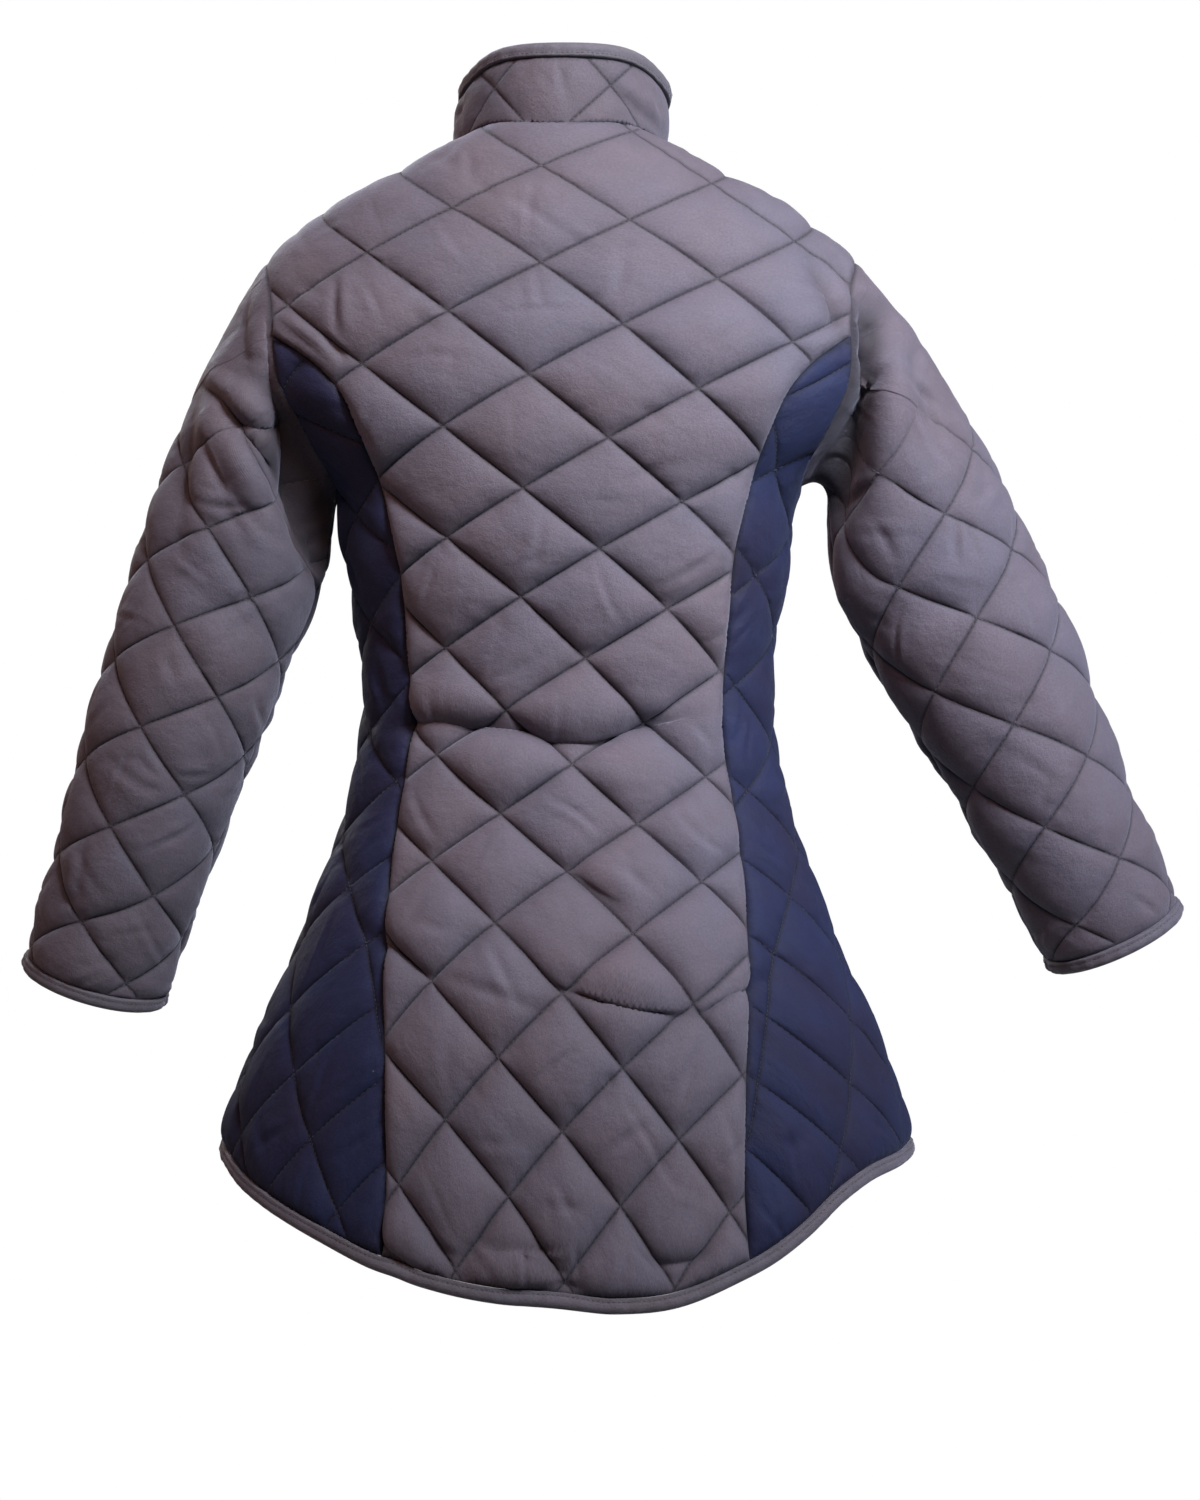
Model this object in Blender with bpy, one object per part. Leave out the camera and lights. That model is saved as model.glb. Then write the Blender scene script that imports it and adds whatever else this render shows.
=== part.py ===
"""Quilted gambeson: a worn, padded coat in two cloths with a standing collar.

Metres, +Z up. The wearer faces -Y, so the back of the coat is +Y and the wearer's left is +X.
The origin is the middle of the neck at shoulder height, where the wearer carries the coat.
Every panel is a padded wall: a plain inside on the body's form and an outside that puffs up
between the stitched lines of its diamond quilting.
"""
import math

import bpy
import numpy as np
from mathutils.geometry import delaunay_2d_cdt

SEAM_GAP = 0.0003
SEAM_THICKNESS = 0.0030
STITCH_THICKNESS = 0.0034
PUFF_THICKNESS = 0.0085
PUFF_POWER = 0.75
SEAM_FADE = 0.012
OUTLINE_STEP = 0.019
LINING_STEP = 0.023
DIAMOND_STEPS = 3
EDGE_MARGIN = 0.0045
LONGEST_MITRE = 1.7

TAPE_WIDTH = 0.0105
TAPE_PROFILE = (
    # outward, height
    (0.0000, 0.0000),
    (0.0000, SEAM_THICKNESS),
    (0.0010, 0.0052),
    (0.0060, 0.0060),
    (0.0100, 0.0040),
    (0.0105, 0.0010),
    (0.0060, -0.0016),
)

# Level rings of the body's form, from the neck down to below the hem.
SECTION_COLUMNS = ("z", "half_width", "back", "front", "squareness")
SECTIONS = (
    (0.010, 0.042, 0.040, 0.028, 2.0),
    (0.000, 0.054, 0.049, 0.038, 2.0),
    (-0.010, 0.067, 0.057, 0.047, 2.0),
    (-0.020, 0.0855, 0.064, 0.055, 2.0),
    (-0.032, 0.108, 0.071, 0.064, 2.0),
    (-0.045, 0.1325, 0.078, 0.073, 2.0),
    (-0.062, 0.164, 0.086, 0.082, 2.0),
    (-0.080, 0.187, 0.092, 0.090, 2.0),
    (-0.100, 0.206, 0.097, 0.098, 2.05),
    (-0.130, 0.226, 0.102, 0.107, 2.1),
    (-0.160, 0.233, 0.107, 0.115, 2.2),
    (-0.190, 0.226, 0.110, 0.123, 2.25),
    (-0.220, 0.198, 0.111, 0.129, 2.25),
    (-0.255, 0.164, 0.109, 0.132, 2.2),
    (-0.300, 0.1565, 0.103, 0.127, 2.2),
    (-0.340, 0.149, 0.097, 0.119, 2.2),
    (-0.380, 0.143, 0.091, 0.111, 2.2),
    (-0.414, 0.1415, 0.088, 0.107, 2.2),
    (-0.450, 0.146, 0.090, 0.107, 2.2),
    (-0.486, 0.1525, 0.097, 0.111, 2.2),
    (-0.522, 0.164, 0.107, 0.117, 2.15),
    (-0.558, 0.177, 0.118, 0.124, 2.15),
    (-0.594, 0.191, 0.129, 0.131, 2.1),
    (-0.630, 0.208, 0.139, 0.138, 2.1),
    (-0.666, 0.224, 0.148, 0.145, 2.1),
    (-0.702, 0.238, 0.156, 0.152, 2.1),
    (-0.738, 0.2455, 0.164, 0.158, 2.1),
    (-0.790, 0.251, 0.172, 0.166, 2.1),
    (-0.860, 0.255, 0.181, 0.174, 2.1),
)

# The wearer stands a little to their left at the shoulders.
STANCE_COLUMNS = ("z", "sideways")
STANCE = (
    (0.060, 0.0035),
    (0.000, 0.0045),
    (-0.040, 0.0060),
    (-0.100, 0.0050),
    (-0.160, 0.0025),
    (-0.220, 0.0008),
    (-0.300, 0.0),
    (-0.900, 0.0),
)

# Lower edge of the coat round the ring: angle from the wearer's left side towards the back.
HEM_COLUMNS = ("angle", "z")
HEM = (
    (-130.0, -0.7835),
    (-90.0, -0.8015),
    (-50.0, -0.7835),
    (-20.0, -0.7415),
    (0.0, -0.7255),
    (10.0, -0.7305),
    (19.0, -0.7435),
    (37.0, -0.7695),
    (50.0, -0.7875),
    (63.0, -0.7990),
    (90.0, -0.8095),
    (102.0, -0.8120),
    (114.0, -0.8090),
    (127.0, -0.7940),
    (134.0, -0.7835),
    (141.0, -0.7685),
    (149.0, -0.7475),
    (156.0, -0.7355),
    (167.0, -0.7285),
    (180.0, -0.7255),
    (200.0, -0.7415),
    (230.0, -0.7835),
    (270.0, -0.8015),
    (310.0, -0.7835),
)

# Curved seams between a side panel and its back or front: distance from the middle plane.
SEAM_COLUMNS = ("z", "back", "front")
PANEL_SEAMS = (
    (-0.176, 0.174, 0.170),
    (-0.194, 0.157, 0.151),
    (-0.222, 0.142, 0.131),
    (-0.250, 0.131, 0.119),
    (-0.299, 0.118, 0.110),
    (-0.344, 0.112, 0.104),
    (-0.386, 0.109, 0.100),
    (-0.424, 0.107, 0.098),
    (-0.504, 0.1165, 0.106),
    (-0.564, 0.1205, 0.111),
    (-0.612, 0.121, 0.114),
    (-0.682, 0.122, 0.117),
    (-0.740, 0.1235, 0.120),
    (-0.800, 0.128, 0.124),
    (-0.860, 0.132, 0.128),
)

# The armhole lies on the body's form; angles run from its top round the back.
ARMHOLE_MIDDLE_Z = -0.1775
ARMHOLE_HALF_HEIGHT = 0.0775
ARMHOLE_BACK = 0.062
ARMHOLE_FRONT = 0.058
ARMHOLE_STEPS = 24
JOIN_STEPS = 5
COLLAR_END_STEPS = 3

# Neckline and collar as quadratics in the sine of the ring angle: middle, tilt and bend.
NECK_Z = (-0.010, 0.020, -0.018)
COLLAR_TOP_Z = (0.031, 0.0245, -0.0150)
COLLAR_TOP_WIDTH = 0.985
COLLAR_TOP_DEPTH = 0.94
COLLAR_TOP_STEP = -0.003
COLLAR_BOW = 0.0004

# Sleeve rings: middle of the arm, half sizes across and front to back.
SLEEVE_COLUMNS = ("x", "y", "z", "half_width", "half_depth")
SLEEVES = {
    "left": (
        (0.2423, 0.000, -0.306, 0.0615, 0.0590),
        (0.2668, -0.002, -0.378, 0.0585, 0.0570),
        (0.2902, -0.008, -0.450, 0.0550, 0.0545),
        (0.3136, -0.018, -0.522, 0.0510, 0.0515),
        (0.3265, -0.026, -0.558, 0.0495, 0.0500),
        (0.3435, -0.035, -0.6090, 0.0490, 0.0480),
        (0.3520, -0.040, -0.6360, 0.0490, 0.0475),
    ),
    "right": (
        (0.2624, 0.000, -0.306, 0.0630, 0.0600),
        (0.2941, -0.002, -0.370, 0.0620, 0.0580),
        (0.3280, -0.008, -0.440, 0.0570, 0.0550),
        (0.3658, -0.018, -0.518, 0.0505, 0.0515),
        (0.3845, -0.024, -0.553, 0.0490, 0.0500),
        (0.3955, -0.027, -0.5765, 0.0485, 0.0480),
        (0.4080, -0.031, -0.6010, 0.0485, 0.0475),
    ),
}
# How far the cap's cloth leaves the armhole sideways, at its top and under the arm.
CAP_PUSH = {"left": (0.050, 0.050), "right": (0.052, 0.085)}

# Lengths that set how finely an outline is stepped, and how far folds stay from a sleeve's ends.
NECK_RADIUS = 0.066
HEM_RADIUS = 0.215
SHOULDER_LENGTH = 0.160
SLEEVE_FOLD_RADIUS = 0.060
ARMHOLE_FADE = 0.020
CUFF_FADE = 0.030

# Grid on which lengths round the body's rings are read.
ARC_LEVELS = 180
ARC_ANGLES = 381
ARC_RANGE = (-100.0, 280.0)

UNDERARM_START = 90.0
UNDERARM_BLEND = 50.0
UNDERARM_LENGTH = 0.080
COLLAR_LOFT = 0.7

# Rows of quilting crossings on the body: height, column shift and diamond width.
ROW_COLUMNS = ("row", "z", "shift", "width")
QUILT_ROWS = (
    (-4.0, 0.098, 0.000, 0.130),
    (-3.0, 0.028, -0.006, 0.126),
    (-2.0, -0.042, -0.014, 0.123),
    (-1.0, -0.1126, -0.020, 0.122),
    (0.0, -0.1911, -0.031, 0.116),
    (1.0, -0.2689, -0.036, 0.110),
    (2.0, -0.3430, -0.037, 0.101),
    (3.0, -0.4212, -0.040, 0.095),
    (4.0, -0.4935, -0.043, 0.093),
    (5.0, -0.5710, -0.044, 0.091),
    (6.0, -0.6582, -0.044, 0.083),
    (7.0, -0.7480, -0.042, 0.077),
    (8.0, -0.8550, -0.040, 0.075),
    (9.0, -0.9650, -0.040, 0.075),
)

# How each body panel's quilting lies: middle line's ring angle, slope of the rows, shift across,
# stretch of the diamonds and shift down in rows.
BODY_CHART_COLUMNS = ("node", "middle", "slope", "shift", "stretch", "row_phase")
BODY_CHARTS = (
    ("back", 90.0, 4.5, 0.0, 1.0, 0.0),
    ("side_left", 0.0, -3.0, 0.030, 0.95, 0.3),
    ("side_right", 180.0, 4.0, 0.070, 0.95, 0.2),
    ("front_left", -90.0, -4.5, 0.060, 1.0, 0.1),
    ("front_right", 270.0, 4.5, 0.010, 1.0, 0.1),
)
# Diamonds of the sleeves: width, height, turn of the rows, shift round the arm and down it.
SLEEVE_LATTICE_COLUMNS = ("width", "height", "turn", "across", "down")
SLEEVE_LATTICES = {
    "left": (0.104, 0.075, 4.0, 0.020, 0.010),
    "right": (0.078, 0.078, 9.0, 0.010, 0.020),
}

# Folds pressed into the body's form: angle, height, half sizes, tilt and depth.
FOLD_COLUMNS = ("angle", "z", "half_length", "half_height", "tilt", "depth")
BODY_FOLDS = (
    (74.0, -0.430, 0.085, 0.016, 4.0, -0.0060),
    (76.0, -0.460, 0.080, 0.018, 2.0, 0.0040),
    (122.0, -0.438, 0.050, 0.016, -8.0, -0.0030),
    (-60.0, -0.428, 0.060, 0.016, 6.0, -0.0045),
    (-125.0, -0.436, 0.055, 0.016, -5.0, -0.0040),
)

# Folds of the sleeves: angle round the arm, distance down it, half sizes, tilt and depth.
SLEEVE_FOLD_COLUMNS = ("angle", "down", "half_length", "half_height", "tilt", "depth")
SLEEVE_FOLDS = {
    "left": (
        (80.0, 0.060, 0.060, 0.012, 60.0, -0.0050),
        (55.0, 0.090, 0.060, 0.012, 66.0, -0.0040),
        (100.0, 0.240, 0.050, 0.014, 20.0, -0.0030),
        (-70.0, 0.070, 0.055, 0.012, -60.0, -0.0045),
    ),
    "right": (
        (110.0, 0.070, 0.060, 0.014, 55.0, -0.0060),
        (75.0, 0.045, 0.055, 0.012, 60.0, -0.0045),
        (95.0, 0.250, 0.050, 0.014, -15.0, -0.0030),
        (-75.0, 0.060, 0.055, 0.012, -58.0, -0.0045),
    ),
}

GREY = ("grey_cloth", (0.110, 0.092, 0.125, 1.0))
NAVY = ("navy_cloth", (0.020, 0.026, 0.075, 1.0))
TAPE = ("binding_tape", (0.120, 0.105, 0.130, 1.0))

BACK_MIDDLE = 90.0
FRONT_MIDDLE = -90.0
HALF_TURN = 180.0


def unit(vectors):
    return vectors / np.linalg.norm(vectors, axis=-1, keepdims=True)


def column(table, names, name):
    place = names.index(name)
    return np.array([row[place] for row in table])


def smooth(values, keys, heights):
    """Cubic reading of a table whose keys may rise or fall."""
    if keys[0] > keys[-1]:
        keys = keys[::-1]
        heights = heights[::-1]
    slopes = np.gradient(heights, keys)
    values = np.clip(np.asarray(values, dtype=float), keys[0], keys[-1])
    place = np.clip(np.searchsorted(keys, values) - 1, 0, len(keys) - 2)
    step = keys[place + 1] - keys[place]
    part = (values - keys[place]) / step
    rise = heights[place + 1] - heights[place]
    near = slopes[place] * step
    far = slopes[place + 1] * step
    bend = part * (1 - part)
    return heights[place] + rise * part + bend * ((near - rise) * (1 - part) - (far - rise) * part)


def quadratic(terms, value):
    return terms[0] + terms[1] * value + terms[2] * value ** 2


def section(z):
    keys = column(SECTIONS, SECTION_COLUMNS, "z")
    return [smooth(z, keys, column(SECTIONS, SECTION_COLUMNS, name)) for name in SECTION_COLUMNS[1:]]


def bare_body_point(angle, z):
    """Point of the body's form before its folds; the angle is in degrees."""
    turn = np.radians(angle)
    width, back, front, power = section(z)
    depth = np.where(np.sin(turn) >= 0, back, front)
    radius = (np.abs(np.cos(turn) / width) ** power + np.abs(np.sin(turn) / depth) ** power) ** (-1 / power)
    return np.stack([radius * np.cos(turn), radius * np.sin(turn), z + 0 * turn], axis=-1)


def fold_depth(across, down, rows, names):
    """Sum of soft troughs and ridges at a place given by two lengths from each fold's middle."""
    total = 0.0
    for index, row in enumerate(rows):
        fold = dict(zip(names, row))
        tilt = math.radians(fold["tilt"])
        along = across[index] * math.cos(tilt) + down[index] * math.sin(tilt)
        over = down[index] * math.cos(tilt) - across[index] * math.sin(tilt)
        reach = (along / fold["half_length"]) ** 2 + (over / fold["half_height"]) ** 2
        total = total + fold["depth"] * np.exp(-reach)
    return total


def surface_frame(point_at, first, second, first_step, second_step, outward):
    """Normals of a surface by small steps in its two coordinates."""
    rise = point_at(first + first_step, second) - point_at(first - first_step, second)
    run = point_at(first, second + second_step) - point_at(first, second - second_step)
    normal = unit(np.cross(rise, run))
    return normal * outward


def stance(z):
    """Sideways step of the whole form at a height."""
    keys = column(STANCE, STANCE_COLUMNS, "z")
    step = smooth(z, keys, column(STANCE, STANCE_COLUMNS, "sideways"))
    return np.stack([step, 0 * step, 0 * step], axis=-1)


def bare_body_normal(angle, z):
    return surface_frame(bare_body_point, angle, z, 0.2, 0.001, 1.0)


def body_point(angle, z):
    angle = np.asarray(angle, dtype=float)
    z = np.asarray(z, dtype=float)
    base = bare_body_point(angle, z)
    reach = np.hypot(base[..., 0], base[..., 1])
    across = [np.radians((angle - row[0] + HALF_TURN) % 360 - HALF_TURN) * reach for row in BODY_FOLDS]
    down = [row[1] - z for row in BODY_FOLDS]
    depth = fold_depth(across, down, BODY_FOLDS, FOLD_COLUMNS)
    return base + stance(z) + bare_body_normal(angle, z) * np.asarray(depth)[..., None]


def body_normal(angle, z):
    return surface_frame(body_point, angle, z, 0.2, 0.001, 1.0)


def angle_at(z, x, back):
    """Ring angle, on the wearer's left, of the body's form at a distance from the middle plane."""
    width, back_depth, front_depth, power = section(z)
    share = np.clip(np.abs(x) / width, 0, 1)
    y = np.where(back, back_depth, -front_depth) * (1 - share ** power) ** (1 / power)
    return np.degrees(np.arctan2(y, x))


def armhole(angle):
    """Ring angle and height of the left armhole at an angle round it from its top."""
    turn = np.radians(angle)
    z = ARMHOLE_MIDDLE_Z + ARMHOLE_HALF_HEIGHT * np.cos(turn)
    y = np.where(np.sin(turn) >= 0, ARMHOLE_BACK, ARMHOLE_FRONT) * np.sin(turn)
    width, back, front, power = section(z)
    depth = np.where(y >= 0, back, front)
    x = width * (1 - (np.abs(y) / depth) ** power) ** (1 / power)
    return np.degrees(np.arctan2(y, x)), z


def hem_z(angle):
    return smooth(angle, column(HEM, HEM_COLUMNS, "angle"), column(HEM, HEM_COLUMNS, "z"))


def neck_z(angle):
    return quadratic(NECK_Z, np.sin(np.radians(angle)))


def collar_stance(angle, height):
    """Sideways step of the collar, which straightens up again towards its top."""
    step = stance(neck_z(angle))
    step[..., 0] += COLLAR_TOP_STEP * height
    return step


def collar_point(angle, height):
    """Point of the collar at a ring angle; height runs from 0 at the neckline to 1 at its tape."""
    angle = np.asarray(angle, dtype=float)
    base = bare_body_point(angle, neck_z(angle))
    sine = np.sin(np.radians(angle))
    top = base * np.array([COLLAR_TOP_WIDTH, COLLAR_TOP_DEPTH, 0.0])
    top[..., 2] = quadratic(COLLAR_TOP_Z, sine)
    out = unit(base * np.array([1.0, 1.0, 0.0]))
    bow = COLLAR_BOW * np.sin(np.pi * np.clip(height, 0, 1))
    height = np.asarray(height, dtype=float)[..., None]
    raised = base + (top - base) * height + out * np.asarray(bow)[..., None]
    return raised + collar_stance(angle, height[..., 0])


def collar_normal(angle, height):
    return surface_frame(collar_point, angle, height, 0.2, 0.02, 1.0)


class Sleeve:
    """Form of one sleeve; angles run from the outside of the arm round its back."""

    def __init__(self, side):
        self.side = side
        self.sign = 1.0 if side == "left" else -1.0
        table = SLEEVES[side]
        self.path = np.array([row[:3] for row in table])
        steps = np.linalg.norm(np.diff(self.path, axis=0), axis=1)
        self.keys = np.concatenate([[0.0], np.cumsum(steps)])
        self.across = column(table, SLEEVE_COLUMNS, "half_width")
        self.deep = column(table, SLEEVE_COLUMNS, "half_depth")
        self.axis = self.direction(0.0)

    def middle(self, down):
        return np.stack([smooth(down, self.keys, self.path[:, k]) for k in range(3)], axis=-1)

    def direction(self, down):
        step = 0.004
        down = np.clip(down, step, self.keys[-1] - step)
        return unit(self.middle(down + step) - self.middle(down - step))

    def ring(self, angle, down):
        turn = np.radians(angle)
        axis = self.direction(down)
        deep = unit(np.array([0.0, 1.0, 0.0]) - axis * axis[..., 1:2])
        wide = np.cross(axis, deep)
        wide = wide * np.sign(wide[..., 0:1])
        half_width = smooth(down, self.keys, self.across)
        half_depth = smooth(down, self.keys, self.deep)
        return (self.middle(down) + wide * (half_width * np.cos(turn))[..., None]
                + deep * (half_depth * np.sin(turn))[..., None])

    def start(self, angle):
        """Distance down the arm, less than 0 on the cap, at which the sleeve leaves the armhole."""
        place, z = armhole(angle)
        edge = body_point(place if self.side == "left" else mirrored(place), z) * [self.sign, 1.0, 1.0]
        ring = self.ring(angle, 0 * np.asarray(angle, dtype=float))
        return ((edge - ring) @ self.axis), edge, ring

    def bare_point(self, angle, down):
        angle = np.asarray(angle, dtype=float) + 0 * np.asarray(down, dtype=float)
        down = np.asarray(down, dtype=float) + 0 * angle
        below = self.ring(angle, np.maximum(down, 0.0))
        begin, edge, ring = self.start(angle)
        length = -begin
        top, under = CAP_PUSH[self.side]
        share = (1 + np.cos(np.radians(angle))) / 2
        push = under + (top - under) * share
        wide = unit(np.array([1.0, 0.0, 0.0]) - self.axis * self.axis[0])
        step = 0.002
        lean = (self.ring(angle, step + 0 * down) - ring) / step
        leave = self.axis * length[..., None] + wide * push[..., None]
        arrive = lean * length[..., None]
        part = ((down - begin) / length)[..., None]
        cap = (edge * (1 + 2 * part) * (1 - part) ** 2 + leave * part * (1 - part) ** 2
               + ring * part ** 2 * (3 - 2 * part) - arrive * part ** 2 * (1 - part))
        point = np.where((down < 0)[..., None], cap, below)
        return point * np.array([self.sign, 1.0, 1.0])

    def bare_normal(self, angle, down):
        return surface_frame(self.bare_point, angle, down, 1.0, 0.001, -self.sign)

    def point(self, angle, down):
        base = self.bare_point(angle, down)
        rows = SLEEVE_FOLDS[self.side]
        middle = -self.start(0.0)[0]
        turned = [(angle - row[0] + HALF_TURN) % 360 - HALF_TURN for row in rows]
        across = [np.radians(turn) * SLEEVE_FOLD_RADIUS for turn in turned]
        lengths = [down + middle - row[1] for row in rows]
        depth = fold_depth(across, lengths, rows, SLEEVE_FOLD_COLUMNS)
        return base + self.bare_normal(angle, down) * (np.asarray(depth) * self.fade(angle, down))[..., None]

    def fade(self, angle, down):
        """Folds die out at the armhole and the cuff."""
        begin = self.start(angle)[0]
        from_armhole = np.clip((down - begin) / ARMHOLE_FADE, 0, 1)
        return from_armhole * np.clip((self.cuff() - down) / CUFF_FADE, 0, 1)

    def normal(self, angle, down):
        return surface_frame(self.point, angle, down, 1.0, 0.001, -self.sign)

    def cuff(self):
        return self.keys[-2]

    def radius(self, down):
        down = np.maximum(down, 0.0)
        return (smooth(down, self.keys, self.across) + smooth(down, self.keys, self.deep)) / 2


class Arcs:
    """Lengths round the body's rings, and the angle at a length."""

    def __init__(self):
        heights = column(SECTIONS, SECTION_COLUMNS, "z")
        self.levels = np.linspace(heights.min(), heights.max(), ARC_LEVELS)
        self.angles = np.linspace(*ARC_RANGE, ARC_ANGLES)
        grid_z, grid_angle = np.meshgrid(self.levels, self.angles, indexing="ij")
        points = bare_body_point(grid_angle, grid_z)
        steps = np.linalg.norm(np.diff(points, axis=1), axis=2)
        self.lengths = np.concatenate([np.zeros((len(self.levels), 1)), np.cumsum(steps, axis=1)], axis=1)

    def rows_at(self, z):
        place = np.interp(z, self.levels, np.arange(len(self.levels)))
        low = np.minimum(place.astype(int), len(self.levels) - 2)
        return low, place - low

    def length(self, angle, z):
        low, part = self.rows_at(z)
        place = np.interp(angle, self.angles, np.arange(len(self.angles)))
        left = np.minimum(place.astype(int), len(self.angles) - 2)
        share = place - left
        near = self.lengths[low, left] * (1 - share) + self.lengths[low, left + 1] * share
        far = self.lengths[low + 1, left] * (1 - share) + self.lengths[low + 1, left + 1] * share
        return near * (1 - part) + far * part

    def angle(self, length, z):
        low, part = self.rows_at(z)
        result = np.empty(len(length))
        for index, wanted in enumerate(length):
            row = self.lengths[low[index]] * (1 - part[index]) + self.lengths[low[index] + 1] * part[index]
            result[index] = np.interp(wanted, row, self.angles)
        return result


ARCS = Arcs()


class BodyChart:
    """Flat pattern of a body panel: lengths from a middle line, and rows of diamond quilting."""

    cell = (0.100, 0.080)

    def __init__(self, middle, slope, shift, stretch, row_phase):
        self.middle = middle
        self.slope = math.tan(math.radians(slope))
        self.shift = shift
        self.stretch = stretch
        self.row_phase = row_phase
        self.rows = column(QUILT_ROWS, ROW_COLUMNS, "row")

    def column_of(self, row, name):
        return smooth(row, self.rows, column(QUILT_ROWS, ROW_COLUMNS, name))

    def flat(self, angle, z):
        across = ARCS.length(angle, z) - ARCS.length(np.full_like(z, self.middle), z)
        row = smooth(z + across * self.slope, column(QUILT_ROWS, ROW_COLUMNS, "z"), self.rows)
        width = self.column_of(row, "width") * self.stretch
        shift = self.column_of(row, "shift") + self.shift
        return np.stack([(across - shift) / width, row + self.row_phase], axis=-1)

    def place(self, flat):
        row = flat[:, 1] - self.row_phase
        width = self.column_of(row, "width") * self.stretch
        across = self.column_of(row, "shift") + self.shift + flat[:, 0] * width
        z = self.column_of(row, "z") - across * self.slope
        middle = ARCS.length(np.full_like(z, self.middle), z)
        return ARCS.angle(across + middle, z), z

    def surface(self, angle, z):
        return body_point(angle, z), body_normal(angle, z)

    def loft(self, angle, z):
        return 1 + 0 * angle


class SleeveChart:
    """Flat pattern of a sleeve with a turned diamond lattice."""

    def __init__(self, sleeve, width, height, turn, shift):
        self.sleeve = sleeve
        self.cell = (width, height)
        self.cosine = math.cos(math.radians(turn))
        self.sine = math.sin(math.radians(turn))
        self.shift = shift

    def flat(self, angle, down):
        across = np.radians(angle - BACK_MIDDLE) * self.sleeve.radius(down)
        first = across * self.cosine + down * self.sine + self.shift[0]
        second = down * self.cosine - across * self.sine + self.shift[1]
        return np.stack([first / self.cell[0], second / self.cell[1]], axis=-1)

    def place(self, flat):
        first = flat[:, 0] * self.cell[0] - self.shift[0]
        second = flat[:, 1] * self.cell[1] - self.shift[1]
        across = first * self.cosine - second * self.sine
        down = second * self.cosine + first * self.sine
        return np.degrees(across / self.sleeve.radius(down)) + BACK_MIDDLE, down

    def surface(self, angle, down):
        return self.sleeve.point(angle, down), self.sleeve.normal(angle, down)

    def loft(self, angle, down):
        """Share of the full puff: the padding is squeezed flat where the sleeve bends under the arm."""
        turned = np.abs((angle + HALF_TURN) % 360 - HALF_TURN)
        under = np.clip((turned - UNDERARM_START) / UNDERARM_BLEND, 0, 1)
        near = np.clip(1 - (down - self.sleeve.start(angle)[0]) / UNDERARM_LENGTH, 0, 1)
        return 1 - under * near


class CollarChart:
    """Flat pattern of the collar, on lengths at mid height."""

    cell = (0.105, 0.080)
    shift = (0.10, 0.15)
    radius = NECK_RADIUS
    depth = 0.046

    def flat(self, angle, height):
        across = np.radians(angle - BACK_MIDDLE) * self.radius
        up = height * self.depth
        return np.stack([across / self.cell[0] + self.shift[0], up / self.cell[1] + self.shift[1]], axis=-1)

    def place(self, flat):
        across = (flat[:, 0] - self.shift[0]) * self.cell[0]
        up = (flat[:, 1] - self.shift[1]) * self.cell[1]
        return np.degrees(across / self.radius) + BACK_MIDDLE, up / self.depth

    def surface(self, angle, height):
        return collar_point(angle, height), collar_normal(angle, height)

    def loft(self, angle, height):
        return COLLAR_LOFT + 0 * angle


RIMS = {}


def rim_key(point):
    return tuple(np.round(np.asarray(point) * 20000).astype(int))


def share_rim(points, first, second):
    """Two walls that meet at an angle share the mitre between their normals."""
    middle = unit(first + second)
    cosine = np.maximum(np.sum(middle * first, axis=-1), 1 / LONGEST_MITRE)
    for point, normal, scale in zip(points, middle, cosine):
        RIMS[rim_key(point)] = normal / scale


def mirrored(angle):
    return HALF_TURN - angle


def even_steps(start, end, length):
    count = max(2, int(round(abs(length) / OUTLINE_STEP)))
    return np.linspace(start, end, count + 1)


class Outline:
    """Closed outline of a panel in the two coordinates of its surface."""

    def __init__(self):
        self.first = []
        self.second = []

    def add(self, first, second):
        first = np.asarray(first, dtype=float)
        second = np.asarray(second, dtype=float)
        self.first.extend(first[:-1])
        self.second.extend(second[:-1])
        return self

    def arrays(self):
        return np.array(self.first), np.array(self.second)


def neck_angles(start, end):
    return even_steps(start, end, math.radians(end - start) * NECK_RADIUS)


def front_neck_angle():
    """Ring angle at which the left front's edge meets the neckline."""
    angle = FRONT_MIDDLE
    for _ in range(12):
        angle = float(angle_at(neck_z(angle), TAPE_WIDTH + SEAM_GAP, False))
    return angle


def princess(back):
    """Angles and heights down the left seam between the side and the back or the front."""
    join = JOIN_STEPS * 360.0 / ARMHOLE_STEPS
    join_angle, join_z = armhole(join if back else -join)
    join_x = float(bare_body_point(join_angle, join_z)[0])
    name = "back" if back else "front"
    heights = np.concatenate([[join_z], column(PANEL_SEAMS, SEAM_COLUMNS, "z")])
    offsets = np.concatenate([[join_x], column(PANEL_SEAMS, SEAM_COLUMNS, name)])
    hem = float(hem_z(BACK_MIDDLE if back else FRONT_MIDDLE))
    for _ in range(12):
        hem = float(hem_z(angle_at(hem, smooth(hem, heights, offsets), back)))
    levels = even_steps(float(join_z), hem, hem - float(join_z))
    angles = angle_at(levels, smooth(levels, heights, offsets), back)
    angles[0] = join_angle
    return angles, levels


def hem_run(start, end):
    angles = even_steps(start, end, math.radians(end - start) * HEM_RADIUS)
    return angles, hem_z(angles)


def shoulder_run():
    levels = even_steps(float(neck_z(0.0)), float(armhole(0.0)[1]), SHOULDER_LENGTH)
    return np.zeros_like(levels), levels


def armhole_run(start, end):
    angles = np.arange(start, end + (1 if end > start else -1), 1 if end > start else -1)
    return armhole(angles * 360.0 / ARMHOLE_STEPS)


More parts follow.
